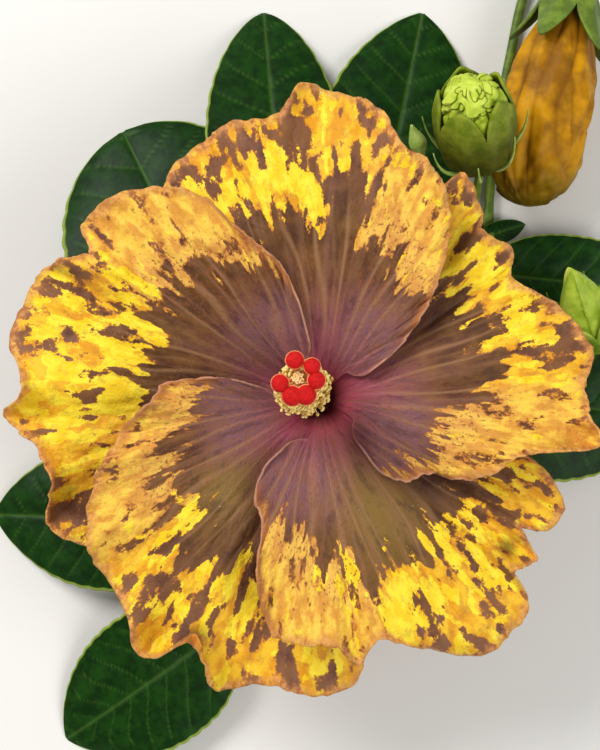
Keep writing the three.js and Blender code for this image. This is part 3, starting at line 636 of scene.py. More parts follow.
# Each petal's rim from its edge under one neighbour round to its edge over the other: degrees clockwise
# from the midline, reach from the axis, and rise above the bowl.
PETALS = {
    "petal_top": (88, [
        (-44, 19, -3), (-48, 46, -1.5), (-46, 62, -1), (-37, 73, 1), (-27, 76.7, -2), (-20, 78.5, 0),
        (-11.3, 77, 3), (-5, 85, -2), (4.6, 82.6, 0), (10.2, 79.6, -2), (16.5, 71, 3), (24, 69, -1),
        (31, 63, 1), (37, 54, 2), (44, 42, 0), (49, 33.5, 1), (54, 25.6, 0), (58, 15.5, 2.5)]),
    "petal_right": (15, [
        (-44, 19, -3), (-48, 46, -1.5), (-46, 62, -1), (-42.4, 73, 0), (-34.5, 68.6, -2), (-31, 64, 2),
        (-22, 66.7, -2), (-18, 61.5, 2), (-4.9, 69.7, -1), (5, 74.5, -2), (10.8, 70.7, 3), (17, 71.5, 0),
        (23.7, 74.5, -3), (27, 62, 2), (31, 54, 0), (38, 49, 1), (44, 42.6, -1), (48, 35, 1),
        (57, 31.3, 0), (63.4, 25.7, 1), (62, 16, 2.5)]),
    "petal_lower_right": (-62, [
        (-44, 19, -3), (-48, 46, -1.5), (-46, 62, -1), (-39, 72.6, -1), (-32.5, 71.3, 0), (-30, 64.3, 3),
        (-26, 71.8, -1), (-21.5, 69, 2), (-18, 79, -2), (-11, 82, -1), (-3.4, 81.3, -2), (4, 72.5, 3),
        (14, 65.5, 3), (19.5, 70.6, -3), (24, 64.5, 2), (31, 63.7, 0), (38.7, 62.6, -2), (43.6, 56, 1),
        (48.6, 46, 2), (53, 35.6, 0), (61.5, 30.8, 1), (67.5, 23, 1), (65, 16, 2.5)]),
    "petal_lower_left": (-131.5, [
        (-46, 20, -4.5), (-52, 46, -1.5), (-52, 62, -1), (-49.5, 78, -1), (-39.5, 80, 1), (-30.5, 78, -1),
        (-21.5, 83, -2), (-17.5, 75.3, 3), (-12.9, 72.7, 5), (-7, 83.7, -3), (0.9, 76, 0), (8.5, 74.2, -1),
        (17.1, 72, 0), (28.9, 62.6, 2), (34.5, 57, 2), (41, 52, -1), (47.8, 45, 2), (54.9, 41.3, 0),
        (59.3, 33, 1), (62.5, 25.4, 0), (62, 16, 2.5)]),
    "petal_left": (160, [
        (-46, 20, -4.5), (-52, 46, -1.5), (-53, 62, -1), (-52, 74, 0), (-43.7, 80.5, -1), (-37, 74.5, 1),
        (-29, 77, -1), (-23, 85.3, -3), (-17.5, 79, 4), (-8.5, 85, 0), (3.9, 82.6, -1), (8.4, 78.3, 2),
        (12.8, 73, 4), (17, 79, -1), (25, 76.5, -1), (34.3, 69.4, 1), (40.5, 62, 0), (44.8, 50.2, 0),
        (50, 42.7, 1), (55, 37, 0), (58.5, 27, 1), (61, 16, 2.5)]),
}

# Where the blotches lie on each petal: degrees clockwise, reach, half width in degrees, half length.
YELLOW = {
    "petal_top": [
        (-1.5, 55, 3, 7.5), (-8, 67, 2, 8), (-7, 58, 3, 4), (-12, 61, 2.5, 4), (-16, 59, 2, 8),
        (-13, 68, 1.5, 6), (-30, 58, 3, 7), (-26, 61, 1.5, 6), (-21.5, 60, 3, 5), (3.5, 64, 3, 3.5)],
    "petal_right": [
        (-30, 54, 3, 4), (-31, 48, 2.5, 2.5), (-22, 54, 4, 5), (-24, 46, 2.5, 2.5), (-24, 59, 4, 3),
        (-16, 60, 3, 4), (-17, 46, 1, 4), (-13, 45, 1, 4), (-4, 47.5, 2, 2.8), (-9, 56, 3, 4),
        (-5, 58, 4, 4.5), (0, 64, 3, 4), (-11, 62, 3, 3)],
    "petal_lower_right": [
        (-20, 46, 1.8, 2.5), (-27, 49, 2.5, 3), (-17, 48, 1.5, 2.5), (-9.5, 48, 1.5, 4), (-12, 56, 1.8, 6),
        (-18, 57, 2.5, 5), (-15.5, 67, 2.5, 5), (-3.5, 58, 2.5, 4), (-7, 63, 2.5, 3.5), (-4, 69, 2.5, 3.5),
        (3, 54, 2.8, 5.5), (2.5, 64, 2.5, 4), (7, 62, 1.3, 4), (11, 57, 1.5, 4.5), (18, 47, 3, 5),
        (29, 46, 2.8, 3)],
    "petal_lower_left": [
        (7, 45, 4, 4.5), (5, 49, 1.5, 2), (16, 45.5, 2, 1.5), (7, 54, 2, 3), (-1.5, 70, 1.5, 4.5),
        (-5, 64.5, 1.5, 3), (-6.5, 56, 1.8, 4), (-12.5, 55, 1.8, 6), (-14, 66, 1.5, 3.5), (-2, 43, 1, 1),
        (-15.5, 50, 1.9, 8), (-22, 58, 2.5, 9)],
    "petal_left": [
        (1, 46, 2.5, 5), (3, 55, 2.5, 6), (-2, 62, 1.5, 1.5), (13, 63, 3, 7), (13, 54, 1.5, 3.5),
        (7, 62.5, 1.5, 2.5), (2, 70, 2.5, 5), (-7, 58.5, 1.2, 2.5), (-12.5, 67, 3, 7), (-14, 55, 2, 7),
        (-22, 52, 3, 4.5), (-23.5, 66, 2.5, 8), (-6, 77, 2, 4)],
}
GOLD = {
    "petal_top": [
        (4.5, 73, 4, 5.5), (-1.5, 74, 1.5, 5.5), (12, 45, 3, 4), (17, 53, 5, 5), (25, 54, 9, 6),
        (33, 44, 6, 7), (26, 62, 8, 3), (13, 70, 5, 4), (-28, 73, 7, 4)],
    "petal_right": [
        (-38, 62, 5, 5), (4.5, 53, 2.5, 3), (11, 62, 2, 8), (13, 48, 4, 3), (20, 50, 10, 12),
        (32, 45, 10, 9), (25, 60, 8, 6), (38, 55, 6, 6), (5, 70, 3, 3)],
    "petal_lower_right": [
        (-37, 61, 6, 9), (-26, 63, 4, 5), (40, 45, 9, 9), (40, 57, 9, 5), (25, 59, 5, 4),
        (-8.5, 74, 2, 3), (4, 70, 8, 3)],
    "petal_lower_left": [
        (7, 66, 4, 5), (-18.5, 62, 1.8, 14), (-26.5, 73, 3, 5), (-20, 75, 1.2, 4), (20, 55, 9, 7),
        (30, 50, 8, 7), (42, 46, 6, 6)],
    "petal_left": [
        (25, 66, 12, 12), (35, 55, 10, 9), (15, 72, 4, 5), (42, 50, 6, 7), (-37, 70, 6, 7)],
}
BROWN = {
    "petal_top": [(8, 57, 6, 10), (-5.5, 73, 2, 11)],
    "petal_right": [(2, 42, 8, 7)],
    "petal_lower_left": [(-8, 48, 5, 5)],
    "petal_left": [(-22, 62, 2, 3), (-5, 69.5, 1.5, 1.5)],
}
# Painted shade in the dark hollows of folds and curled rims.
POCKET = {
    "petal_lower_right": [(-24, 64, 2, 2.5)],
    "petal_lower_left": [(-14, 71, 2.5, 2.5)],
    "petal_left": [(-5, 69.5, 0.8, 1.2)],
}
OLIVE = {"petal_lower_right": [(0, 32, 16, 14)], "petal_lower_left": [(5, 34, 10, 8)]}

# How far out each petal's warm border begins: degrees clockwise, reach.
BORDER = {
    "petal_top": [
        (-48, 50), (-30, 50), (-16, 49), (-8, 53), (-1.5, 48), (3, 60), (8, 67), (11, 50), (13, 42), (17, 46),
        (25, 45), (33, 38), (45, 37)],
    "petal_right": [
        (-46, 50), (-31, 45), (-24, 43), (-17, 45), (-12, 49), (-4, 46), (2, 50), (7, 50), (10, 44), (18, 38),
        (28, 35), (36, 33), (45, 30), (60, 26)],
    "petal_lower_right": [
        (-46, 50), (-37, 49), (-27, 45), (-20, 43), (-12, 47), (-8, 50), (-3, 51), (3, 45), (8, 51), (12, 50),
        (18, 42), (25, 44), (30, 40), (36, 37), (45, 33), (60, 31)],
    "petal_lower_left": [
        (-52, 50), (-30, 52), (-20, 48), (-12, 49), (-5, 53), (0, 57), (5, 48), (7, 40), (12, 47), (16, 44),
        (20, 46), (30, 41), (42, 34), (58, 27)],
    "petal_left": [
        (-52, 48), (-30, 46), (-22, 45), (-14, 46), (-5, 45), (1, 40), (4, 43), (8, 49), (13, 48), (20, 53),
        (25, 50), (35, 44), (45, 39), (55, 32)],
}
# Where a rim rolls: degrees clockwise, half width in degrees, and turn per millimetre, up if above 0.
CURLS = {
    "petal_top": [(-5, 3, 0.12), (30, 8, -0.08)],
    "petal_right": [(23, 4, 0.2), (-22, 4, -0.12)],
    "petal_lower_right": [(5, 7, -0.14), (-25, 5, 0.14)],
    "petal_lower_left": [(-14, 4.5, 0.36), (-34, 7, 0.12)],
    "petal_left": [(-40, 9, 0.16), (-18, 4, 0.12), (13, 3, -0.1)],
}


def blotches(spots, turn, reach):
    clear = np.ones_like(turn)
    for turn0, reach0, half_turn, half_reach in spots:
        away = ((turn - turn0) / half_turn) ** 2 + ((reach - reach0) / half_reach) ** 2
        clear *= 1 - np.exp(-BLOTCH_SHARPNESS * away)
    return 1 - clear


# Streaks along the veins, as ranks from 0 to 1 that are all equally common.
def shuffled(turn, reach, seed):
    streak = 0.56 * wander(turn / 2.2, reach / 7, seed) + 0.44 * wander(turn / 1.1, reach / 3, seed + 60)
    ranks = np.empty(streak.size)
    ranks[np.argsort(streak, axis=None)] = np.linspace(0, 1, streak.size)
    return ranks.reshape(streak.shape)


def bowl_height(reach):
    out = np.maximum(0, reach - CLAW_START)
    past = np.maximum(0, reach - FLAT_REACH) / BEND_SPREAD
    throat = THROAT_DEPTH * np.exp(-out / THROAT_SPREAD) + BOWL_DEPTH * np.exp(-out / BOWL_SPREAD)
    return RIM_HEIGHT - throat - BEND_BACK * past**2


# A petal's points, as millimetres along its midline, clockwise from it and up, and how far each lies
# from the rim. Rows go from the throat to the rim, and columns along the rim.
def petal_shape(name, index):
    angles, reaches, rises = np.array(PETALS[name][1]).T
    stations = np.stack([reaches * np.cos(angles * DEGREE), reaches * np.sin(angles * DEGREE), rises], 1)
    v = np.linspace(0, 1, PETAL_COLUMNS)
    end = curve(stations, v)
    side = 2 * v - 1
    source = np.stack([CLAW_REACH - CLAW_SHOULDER * side**2, CLAW_END_HALF_WIDTH * side], 1)
    outward = end[:, :2] - source
    length = np.linalg.norm(outward, axis=1)
    outward /= length[:, None]
    flank = np.minimum(ramp(0, FLANK_SHARE, v), ramp(0, FLANK_SHARE, 1 - v))
    jag = RIM_JAG * wander(v * 70, index * 3.1, 1) + FINE_JAG * wander(v * 170, index * 5.3, 2)
    length = length + jag * flank
    u = np.linspace(0, 1, PETAL_ROWS)[:, None]
    over = np.maximum(0, u - CLAW_SHARE)
    bend = np.clip(u - CLAW_SHARE + CLAW_BEND, 0, 2 * CLAW_BEND)
    over = np.where(np.abs(u - CLAW_SHARE) < CLAW_BEND, bend**2 / (4 * CLAW_BEND), over)
    claw = (u - over) / CLAW_SHARE
    blade = over / (1 - CLAW_SHARE)
    out = blade * length
    left = length - out
    # The rim rolls up or down, and the blade is stretched so that it still reaches as far out.
    end_angle = np.arctan2(end[:, 1], end[:, 0]) / DEGREE
    curl = 0.07 * wander(v * 13, index * 1.9, 7)
    for angle, half_width, amount in CURLS[name]:
        curl = curl + amount * np.exp(-(((end_angle - angle) / half_width) ** 2))
    curl = curl * flank * ramp(38, 52, np.linalg.norm(end[:, :2], axis=1))
    curl = np.where(np.abs(curl) < LEAST_CURL, LEAST_CURL, curl)
    rolled = np.maximum(0, CURL_DEPTH - left) * curl
    widest = np.sin(np.minimum(math.pi / 2, CURL_DEPTH * np.abs(curl))) / np.abs(curl)
    out = out - np.maximum(0, CURL_DEPTH - left) + np.sin(rolled) / curl
    out = out * length / (length - CURL_DEPTH + widest)
    x = CLAW_FOOT + (source[:, 0] - CLAW_FOOT) * claw + outward[:, 0] * out
    y = side * (CLAW_HALF_WIDTH + (CLAW_END_HALF_WIDTH - CLAW_HALF_WIDTH) * claw) + outward[:, 1] * out
    # The flanks swell sideways between claw and rim.
    aside = FLANK_SWELL * 4 * blade * (1 - blade) * (1 - flank) * np.sign(side)
    x = x - outward[:, 1] * aside
    y = y + outward[:, 0] * aside
    reach = np.hypot(x, y)
    turn = np.arctan2(y, x) / DEGREE
    ruffle = RUFFLE * wander(v * 30, index * 2.7, 3) * np.exp(-left / 10)
    ruffle = ruffle + FINE_RUFFLE * wander(v * 85, left / 5, 4 + index) * np.exp(-left / 7)
    ribs = RIB * wander(turn / 2.2, reach / 26, 9 + index) * ramp(22, 50, reach)
    crinkle = CRINKLE * wander(turn / 1.3, reach / 2.6, 15 + index) * ramp(25, 50, reach)
    crinkle = crinkle * (1 + ramp(6, 15, turn))
    swell = SWELL * wander(turn / 13, reach / 18, 21 + index) * ramp(14, 40, reach)
    rise = end[:, 2] * blade**RISE_POWER + (1 - np.cos(rolled)) / curl
    relief = ruffle * flank + ribs + crinkle + swell
    z = bowl_height(reach) + math.tan(PETAL_ROLL * DEGREE) * y + rise + relief
    return x, y, z, left


def petal_paint(name, index, x, y, left):
    reach = np.hypot(x, y)
    turn = np.arctan2(y, x) / DEGREE
    clockwise = ramp(6, 15, turn)
    lemon_spots = blotches(YELLOW[name], turn, reach)
    gold_spots = blotches(GOLD[name], turn, reach)
    border_angles, border_reaches = np.array(BORDER[name], float).T
    past = reach - np.interp(turn, border_angles, border_reaches)
    cover = (0.06 + 0.66 * ramp(-2, 5, past)) * (1 - clockwise) + 0.93 * ramp(-4, 6, past) * clockwise
    cover = np.maximum(cover * ramp(-16, -2, past), np.maximum(lemon_spots * 1.1, gold_spots))
    cover = cover * (1 - 0.85 * blotches(BROWN.get(name, []), turn, reach))
    warm = (cover - shuffled(turn, reach, 40 + index)) * 2.5 - 2 * (1 - ramp(-13, -4, past))
    plain = 0.42 - 0.5 * clockwise * (1 - 0.5 * ramp(6, 24, past))
    lemon_cover = np.maximum(lemon_spots * 1.15, plain) * (1 - 0.7 * gold_spots)
    lemon = (lemon_cover - shuffled(turn, reach, 50 + index)) * 2.5
    steps = np.hypot(np.diff(x, axis=1, prepend=x[:, :1]), np.diff(y, axis=1, prepend=y[:, :1]))
    from_start = np.cumsum(steps, axis=1)
    from_end = from_start[:, -1:] - from_start
    return {
        "turn": turn + STREAKS_START + STREAKS_APART * index,
        "reach": reach,
        "rim": np.minimum(left, np.minimum(from_start, from_end)),
        "warm": np.clip(warm, -2.6, 1),
        "lemon": np.clip(lemon, -1.6, 1),
        "apricot": clockwise,
        # Light mauve along the clockwise flank near the throat.
        "mauve": ramp(4, 26, turn) * ramp(8, 15, reach) * (1 - ramp(24, 38, reach)),
        "olive": blotches(OLIVE.get(name, []), turn, reach),
        "pocket": blotches(POCKET.get(name, []), turn, reach),
        "specks": clockwise * (0.25 + 0.75 * (1 - ramp(2, 14, past))),
        "flecks": ramp(0.35, 0.8, wander(turn / 9, reach / 9, 70 + index)) * ramp(20, 34, reach),
        # Painted shade, darker where the next petal lies over this one.
        "under": (1 - ramp(-26, -8, turn)) * ramp(8, 14, reach) * (1 - ramp(38, 54, reach)),
        "rusty": ramp(34, 46, turn) * ramp(22, 32, reach),
    }


for place, (petal_name, (heading, _)) in enumerate(PETALS.items()):
    x, y, z, left = petal_shape(petal_name, place)
    cos, sin = math.cos(heading * DEGREE), math.sin(heading * DEGREE)
    petal_points = np.stack([x * cos + y * sin, x * sin - y * cos, z], -1)
    colours = {key: values[:, ::-1] for key, values in petal_paint(petal_name, place, x, y, left).items()}
    petal_part = thin_sheet(petal_points[:, ::-1], PETAL_THICKNESS, colours)
    piece(petal_name + "_skin", petal_part, [petal_name], PETAL_LOOKS)


# The column with its brush of stamens, and the six red pads at its top.
def column_points(shares):
    lean = np.array([*COLUMN_LEAN, 0])
    knots = [
        lean * aside + UP * (COLUMN_FOOT + up * (COLUMN_TOP - COLUMN_FOOT))
        for aside, up in ((0, 0), (0.28, 0.3), (0.82, 0.68), (1, 1))
    ]
    return curve_along(knots, shares)


def column():
    chance = np.random.default_rng(5)
    shares = np.linspace(0, 1, 40)
    parts = [limb(column_points(shares), COLUMN_RADIUS - COLUMN_TAPER * shares, 16, look=1)]
    for k in range(STAMEN_COUNT):
        share = k / (STAMEN_COUNT - 1)
        foot = column_points(STAMENS_START + STAMENS_SPAN * share)[0]
        angle = k * GOLDEN_ANGLE * DEGREE + chance.normal(0, 0.1)
        # The ring is fuller away from the side the column leans to.
        full = 1 - 0.22 * max(0.0, math.cos(angle - 112 * DEGREE)) ** 0.5
        full += 0.13 * max(0.0, math.cos(angle + 100 * DEGREE))
        reach = (STAMEN_REACH - STAMEN_TAPER * share + chance.normal(0, 0.45)) * full
        out = level(angle)
        tip = foot + out * reach + UP * (1.6 + chance.normal(0, 0.7))
        bend = foot + out * reach * 0.6 + UP * 0.1
        parts.append(limb(bezier([foot, bend, tip], np.linspace(0, 1, 5)), FILAMENT_RADIUS, 5))
        lie = np.array([-out[1], out[0], chance.normal(0, 0.5)]) + chance.normal(0, 0.5, 3)
        size = 1 + chance.normal(0, 0.14)
        # About one anther in five takes the darker pollen: partly the anthers' own varied colour, partly
        # painted shade in the gaps of the ring.
        shade = 2 if chance.random() < 0.2 else 0
        parts.append(ball(tip, ANTHER * size, lie, 6, 8, look=shade))
    looks = [POLLEN, COLUMN_SKIN, POLLEN_SHADE]
    piece("stamen_column", joined(parts), ["staminal_column"], looks)


def stigmas():
    top = np.array([*COLUMN_LEAN, COLUMN_TOP + 0.55])
    parts = [limb([top, top + UP * 1.6], [1.3, 1.1], 14, look=1)]
    for angle, size in zip(STIGMA_ANGLES, STIGMA_SIZES):
        out = level(angle * DEGREE)
        pad = top + out * STIGMA_RING + UP * STIGMA_HEIGHT
        path = bezier([top + UP * 0.8, top + out * STIGMA_RING * 0.9 + UP * 1.4, pad], np.linspace(0, 1, 10))
        rim = STIGMA_RADIUS * size * 1.03
        cap = STIGMA_RADIUS * size * 0.94
        parts.append(limb(path, 0.5, 8, look=1))
        parts.append(ball(pad - UP * 0.35, (rim, rim, 1.1), out * 0.25 + UP, 9, 18, look=1))
        parts.append(ball(pad, (cap, cap, 1.75), out * 0.25 + UP, 11, 20))
    chance = np.random.default_rng(8)
    for k in range(TUFT_COUNT):
        spread = 0.34 * math.sqrt(k)
        spot = top + spread * level(k * GOLDEN_ANGLE * DEGREE) + UP * (3.4 - 0.3 * spread)
        parts.append(ball(spot, (0.4, 0.34, 0.5), chance.normal(0, 1, 3), 5, 7, look=2))
    piece("stigma_pads", joined(parts), ["stigmas"], [VELVET, VELVET_RIM, TUFT])


column()
stigmas()


# A cup with five pointed lobes round +Z, from a profile of radius and height.
def calyx_cup(profile, cup_share, bluntness=0.75):
    rows, columns = 24, 22 * LOBES
    v = np.arange(columns) / columns
    point = 1 - np.abs(2 * ((v * LOBES) % 1) - 1)
    u = np.linspace(0, 1, rows)[:, None] * (cup_share + (1 - cup_share) * point**bluntness)
    at = curve(profile, u.ravel(), plain=True).reshape(rows, columns, 2)
    radius = at[..., 0] * (1 + 0.03 * np.cos((v * LOBES * 2 % 1) * TURN))
    points = np.stack([radius * np.cos(TURN * v), radius * np.sin(TURN * v), at[..., 1]], -1)
    return thin_sheet(points[:, ::-1], CALYX_WALL, {"tone": ramp(0.35, 0.95, u)[:, ::-1]}, around=True)


def bract(angle, radius, foot, length, out, width=1.0, look=0):
    controls = [
        level(angle) * (radius + out * aside) + UP * (foot + length * up)
        for aside, up in ((0, 0), (0.9, 0.25), (1, 1))
    ]
    shares = np.linspace(0, 1, 16)
    return limb(bezier(controls, shares), width * (1 - 0.82 * shares), 8, look)


def bracts(count, start, radius, foot, length, out, look=0):
    return [bract(TURN * (k + start) / count, radius, foot, length, out, look=look) for k in range(count)]


def turned(part, matrix, foot):
    return {**part, "points": part["points"] @ matrix.T + foot}


# The turn that brings +Z to the line from foot to tip, and the length of that line.
def axis_turn(foot, tip):
    line = np.subtract(tip, foot)
    direction = unit(line)
    cross = np.cross([0, 0, 1], direction)
    k = unit(cross)
    skew = np.array([[0, -k[2], k[1]], [k[2], 0, -k[0]], [-k[1], k[0], 0]])
    turn = np.eye(3) + np.linalg.norm(cross) * skew + (1 - direction[2]) * skew @ skew
    return turn, np.linalg.norm(line)


spin = CALYX_SPIN * DEGREE
spin_matrix = np.array([[math.cos(spin), -math.sin(spin), 0], [math.sin(spin), math.cos(spin), 0], [0, 0, 1]])
bloom_cup = turned(calyx_cup(CALYX_PROFILE, 0.5), spin_matrix, 0)
piece("bloom_calyx", bloom_cup, ["calyx"], [SKIN_GREEN, SKIN_GREEN])
base_parts = [turned_solid(BLOOM_BASE), *bracts(8, 0, 3.5, 21.5, 12, 14)]
piece("bloom_base", joined(base_parts), ["receptacle"], [SKIN_GREEN])


def stem_radius(share):
    return STEM_RADIUS + (STEM_TIP_RADIUS - STEM_RADIUS) * share


STEM_KNOTS = [(x, y, stem_radius(k / (len(STEM_NODES) - 1))) for k, (x, y) in enumerate(STEM_NODES)]


def stem_at(share):
    return curve_along(STEM_KNOTS, share)[0]


# Which points of a path lie clear of the stem, at whose given share the path begins.
def outside_stem(path, share, clearance=STALK_CLEARANCE):
    return np.linalg.norm(path - stem_at(share), axis=1) > stem_radius(share) + clearance


def stem():
    shares = np.linspace(0, 1, 180)
    radii = stem_radius(shares)
    for shape in LEAVES.values():
        radii = radii + 0.35 * np.exp(-(((shares - shape[0]) / 0.014) ** 2))
    part = limb(curve_along(STEM_KNOTS, shares), radii, 22)
    rough = wander(np.arange(len(part["points"])) * 0.37, 0.5, 2) * 0.08
    part["points"][:, 2] = np.maximum(part["points"][:, 2] + rough, 0.02)
    piece("stem_bark", part, ["stem"], [BARK])


def leaf_width(u, blunt):
    widest = 0.38 + 0.17 * blunt
    foot = np.sqrt(np.maximum(0, 1 - np.abs(1 - u / widest) ** 2.2))
    past = np.clip((u - widest) / (1 - widest), 0, 1)
    return np.where(u < widest, foot, (1 - past**2.05) ** (0.85 - 0.33 * blunt))


def leaf(name, index):
    at, heading, turn, petiole, length, width, foot, arch, tilt, wave, blunt = LEAVES[name]
    start = stem_at(at)
    petiole_end = start + petiole * level(heading * DEGREE)
    petiole_end[2] = foot
    along = level((heading + turn) * DEGREE)
    side = np.array([-along[1], along[0], 0])
    u = np.linspace(0, 1, LEAF_ROWS)[:, None]
    a = np.linspace(-1, 1, LEAF_COLUMNS)[None, :]
    half = (width / 2) * np.maximum(0.03, leaf_width(u, blunt))
    teeth = 1 + LEAF_TEETH * np.abs(np.sin(u * 46 + index)) * np.abs(a) ** 8
    arched = np.sin(math.pi * u)
    height = LEAF_TIP_HEIGHT + (foot - LEAF_TIP_HEIGHT) * (1 - u**1.6) + arch * arched
    lift = half * (0.12 * np.abs(a) - 0.16 * a**2 + tilt * a)
    lift = lift + wave * a**2 * np.sin(9 * u + 2 * a) * arched
    # Side veins leave the midrib at a slant; the blade bulges a little between them.
    slant = (u * SIDE_VEINS - np.abs(a) * (half / length) * 5.2 + 0.25 * wander(a * 2, u * 3, index)) % 1
    side_vein = np.exp(-((np.minimum(slant, 1 - slant) / 0.035) ** 2)) * ramp(1.0, 0.75, np.abs(a))
    vein = np.maximum(side_vein * 0.75, np.exp(-((a * half / 0.55) ** 2)))
    lift = lift - 0.35 * vein + 0.25 * np.sin(math.pi * slant) * (1 - np.abs(a))
    points = petiole_end + along * (length * u)[..., None] + side * (half * teeth * a)[..., None]
    points[..., 2] = np.maximum(height + lift, LEAF_LEAST_HEIGHT)
    blade = thin_sheet(points, LEAF_THICKNESS, {"across": a, "vein": vein})
    shares = np.linspace(0, 1, 26)
    mid = start + (petiole_end - start) * 0.55
    mid[2] = foot + 1
    path = bezier([start, mid, petiole_end + along * 4], shares)
    keep = outside_stem(path, at, PETIOLE_CLEARANCE)
    stalk = limb(path[keep], PETIOLE_RADIUS * (1 - 0.35 * shares[keep]), 12, look=2)
    piece(name + "_blade", joined([blade, stalk]), [name], LEAF_LOOKS)


stem()
for place, leaf_name in enumerate(LEAVES):
    leaf(leaf_name, place)


def bloom_stalk():
    start = stem_at(BLOOM_STALK_AT)
    controls = [start, (start[0] + 12, start[1] + 4, 9), (0, 0, 7), (0, 0, 19.2)]
    path = bezier(controls, np.linspace(0, 1, 50))
    path = path[outside_stem(path, BLOOM_STALK_AT)]
    stalk = limb(path, np.linspace(2, 2.4, len(path)), 16)
    piece("bloom_stalk_skin", stalk, ["bloom_stalk"], [SKIN_GREEN])


# The stalk of a bud, which leaves the stem at a share of its length and widens to the head's radius.
def bud_stalk(name, node, foot, tip, share, head, bend):
    start = stem_at(share)
    direction = unit(np.subtract(tip, foot))
    end = foot - direction * 0.3
    low = start + (foot - start) * 0.35
    low[2] = max(start[2], foot[2] * bend)
    shares = np.linspace(0, 1, 60)
    path = bezier([start, low, end - direction * 9, end], shares)
    widths = BUD_STALK_RADIUS + (head - BUD_STALK_RADIUS) * ramp(0.86, 1, shares)
    keep = outside_stem(path, share)
    piece(name, limb(path[keep], widths[keep], 14), [node], [SKIN_GREEN])


bloom_stalk()


# Closed petals: a body round +Z with spiral folds, crumples and sharp creases. Its paint holds the
# change of colour toward the tip and how much painted shade lies in the creases.
def furled(profile, folds, depth, twist, crumple, seed, grid=(90, 160), ragged=0.0, creases=None, pleats=0):
    rows, columns = grid
    u = np.linspace(0, 1, rows)[:, None]
    v = (np.arange(columns) / columns)[None, :]

    def waves(count, along, shift):
        return wander(v * count, along, seed + shift, wrap=count)

    at = curve(profile, np.linspace(0, 1, rows), plain=True)
    turn = (v * folds + twist * u) % 1
    fold = 1 - depth * u * ramp(0, 1, turn) ** 0.8
    big = waves(14, u * 9, 0)
    small = waves(36, u * 22, 3)
    radius = at[:, :1] * fold * (1 + crumple * (0.6 * big + 0.4 * small) * ramp(0.15, 0.5, u))
    height = at[:, 1:] + ragged * waves(18, u * 2, 5) * ramp(0.6, 1, u)
    crease = 0 * radius
    if creases:
        round_about, along, cut, first = creases
        ridge = np.abs(waves(round_about, (u + 0.105 * waves(6, u * 5, 9)) * along, 7))
        crease = (1 - ramp(0, 0.3, ridge)) * ramp(first, first + 0.12, u) * ramp(1, 0.97, u)
        radius = radius * (1 - cut * crease)
        height = height - cut * 6 * crease * ramp(0.7, 1, u)
    if pleats:
        bent = v * pleats + 1.3 * u + 0.9 * waves(5, u * 3, 11)
        valley = 1 - np.abs(2 * (bent % 1) - 1)
        depth_here = (0.5 + 0.5 * waves(8, u * 4, 13)) * ramp(1, 0.94, u)
        crease = valley**4 * depth_here * ramp(0.02, 0.1, u)
        radius = radius * (1 - 0.13 * valley**1.6 * depth_here)
    rings = np.stack([radius * np.cos(TURN * v), radius * np.sin(TURN * v), height], -1)
    return ring_body(rings, paint={"tone": ramp(0.5, 0.92, u + 0.12 * big), "crease_depth": 0.8 * crease})


# A profile from a first radius and height, and shares of a radius and a length.
def scaled(first, radius, length, *shares):
    return [first, *((radius * a, length * b) for a, b in shares)]


def large_bud():
    matrix, length = axis_turn(LARGE_FOOT, LARGE_TIP)
    r = LARGE_RADIUS
    profile = scaled((r * 0.3, 0.1), r, length, (0.68, 0.24), (0.88, 0.6), (0.76, 0.86), (0.3, 1))
    petals = furled(profile, 5, 0.1, 0.5, 0.08, 3, (170, 280), 1.8, (22, 19, 0.1, 0.58))
    piece("large_bud_top", turned(petals, matrix, LARGE_FOOT), ["large_bud_petals"], [BUD_LIME])
    cup = scaled((r * 0.45, 0.8), r, length, (0.88, 0.2), (0.985, 0.45), (0.96, 0.7), (0.78, 0.93))
    parts = [calyx_cup(cup, 0.68, 0.5)]
    for k in range(7):
        long, out = 16 + 3 * math.sin(k * 2.3), 8.5 + math.cos(k * 1.7)
        parts.append(bract(TURN * (k + 0.3) / 7, r * 0.54, 1, long, out, 0.9, look=2))
    sepals = turned(joined(parts), matrix, LARGE_FOOT)
    piece("large_bud_sepals", sepals, ["large_bud_calyx"], [SKIN_OLIVE, SKIN_OLIVE, SKIN_PALE])
    bud_stalk("large_bud_stem", "large_bud_stalk", LARGE_FOOT, LARGE_TIP, 0.96, r * 0.32, 0.5)


def side_bud():
    matrix, length = axis_turn(SIDE_FOOT, SIDE_TIP)
    r = SIDE_RADIUS
    profile = scaled((r * 0.4, 0), r, length, (0.86, 0.22), (0.9, 0.45), (0.56, 0.76), (0.08, 1))
    # Its calyx opens in a star of pale pointed lobes.
    star = scaled((r * 0.5, 0.6), r, length, (0.94, 0.2), (1, 0.4), (1.12, 0.54), (1.34, 0.65))
    cup = calyx_cup(star, 0.46, 0.9)
    cup["looks"] = np.full(len(cup["faces"]), 1)
    parts = [furled(profile, 5, 0.2, 0.15, 0.02, 8), cup, *bracts(6, 0.5, r * 0.5, 2.2, 16, 8, look=1)]
    body = turned(joined(parts), matrix, SIDE_FOOT)
    piece("side_bud_green", body, ["side_bud"], [SKIN_FRESH, SKIN_LIGHT])
    bud_stalk("side_bud_stem", "side_bud_stalk", SIDE_FOOT, SIDE_TIP, 0.72, r * 0.36, 0.95)


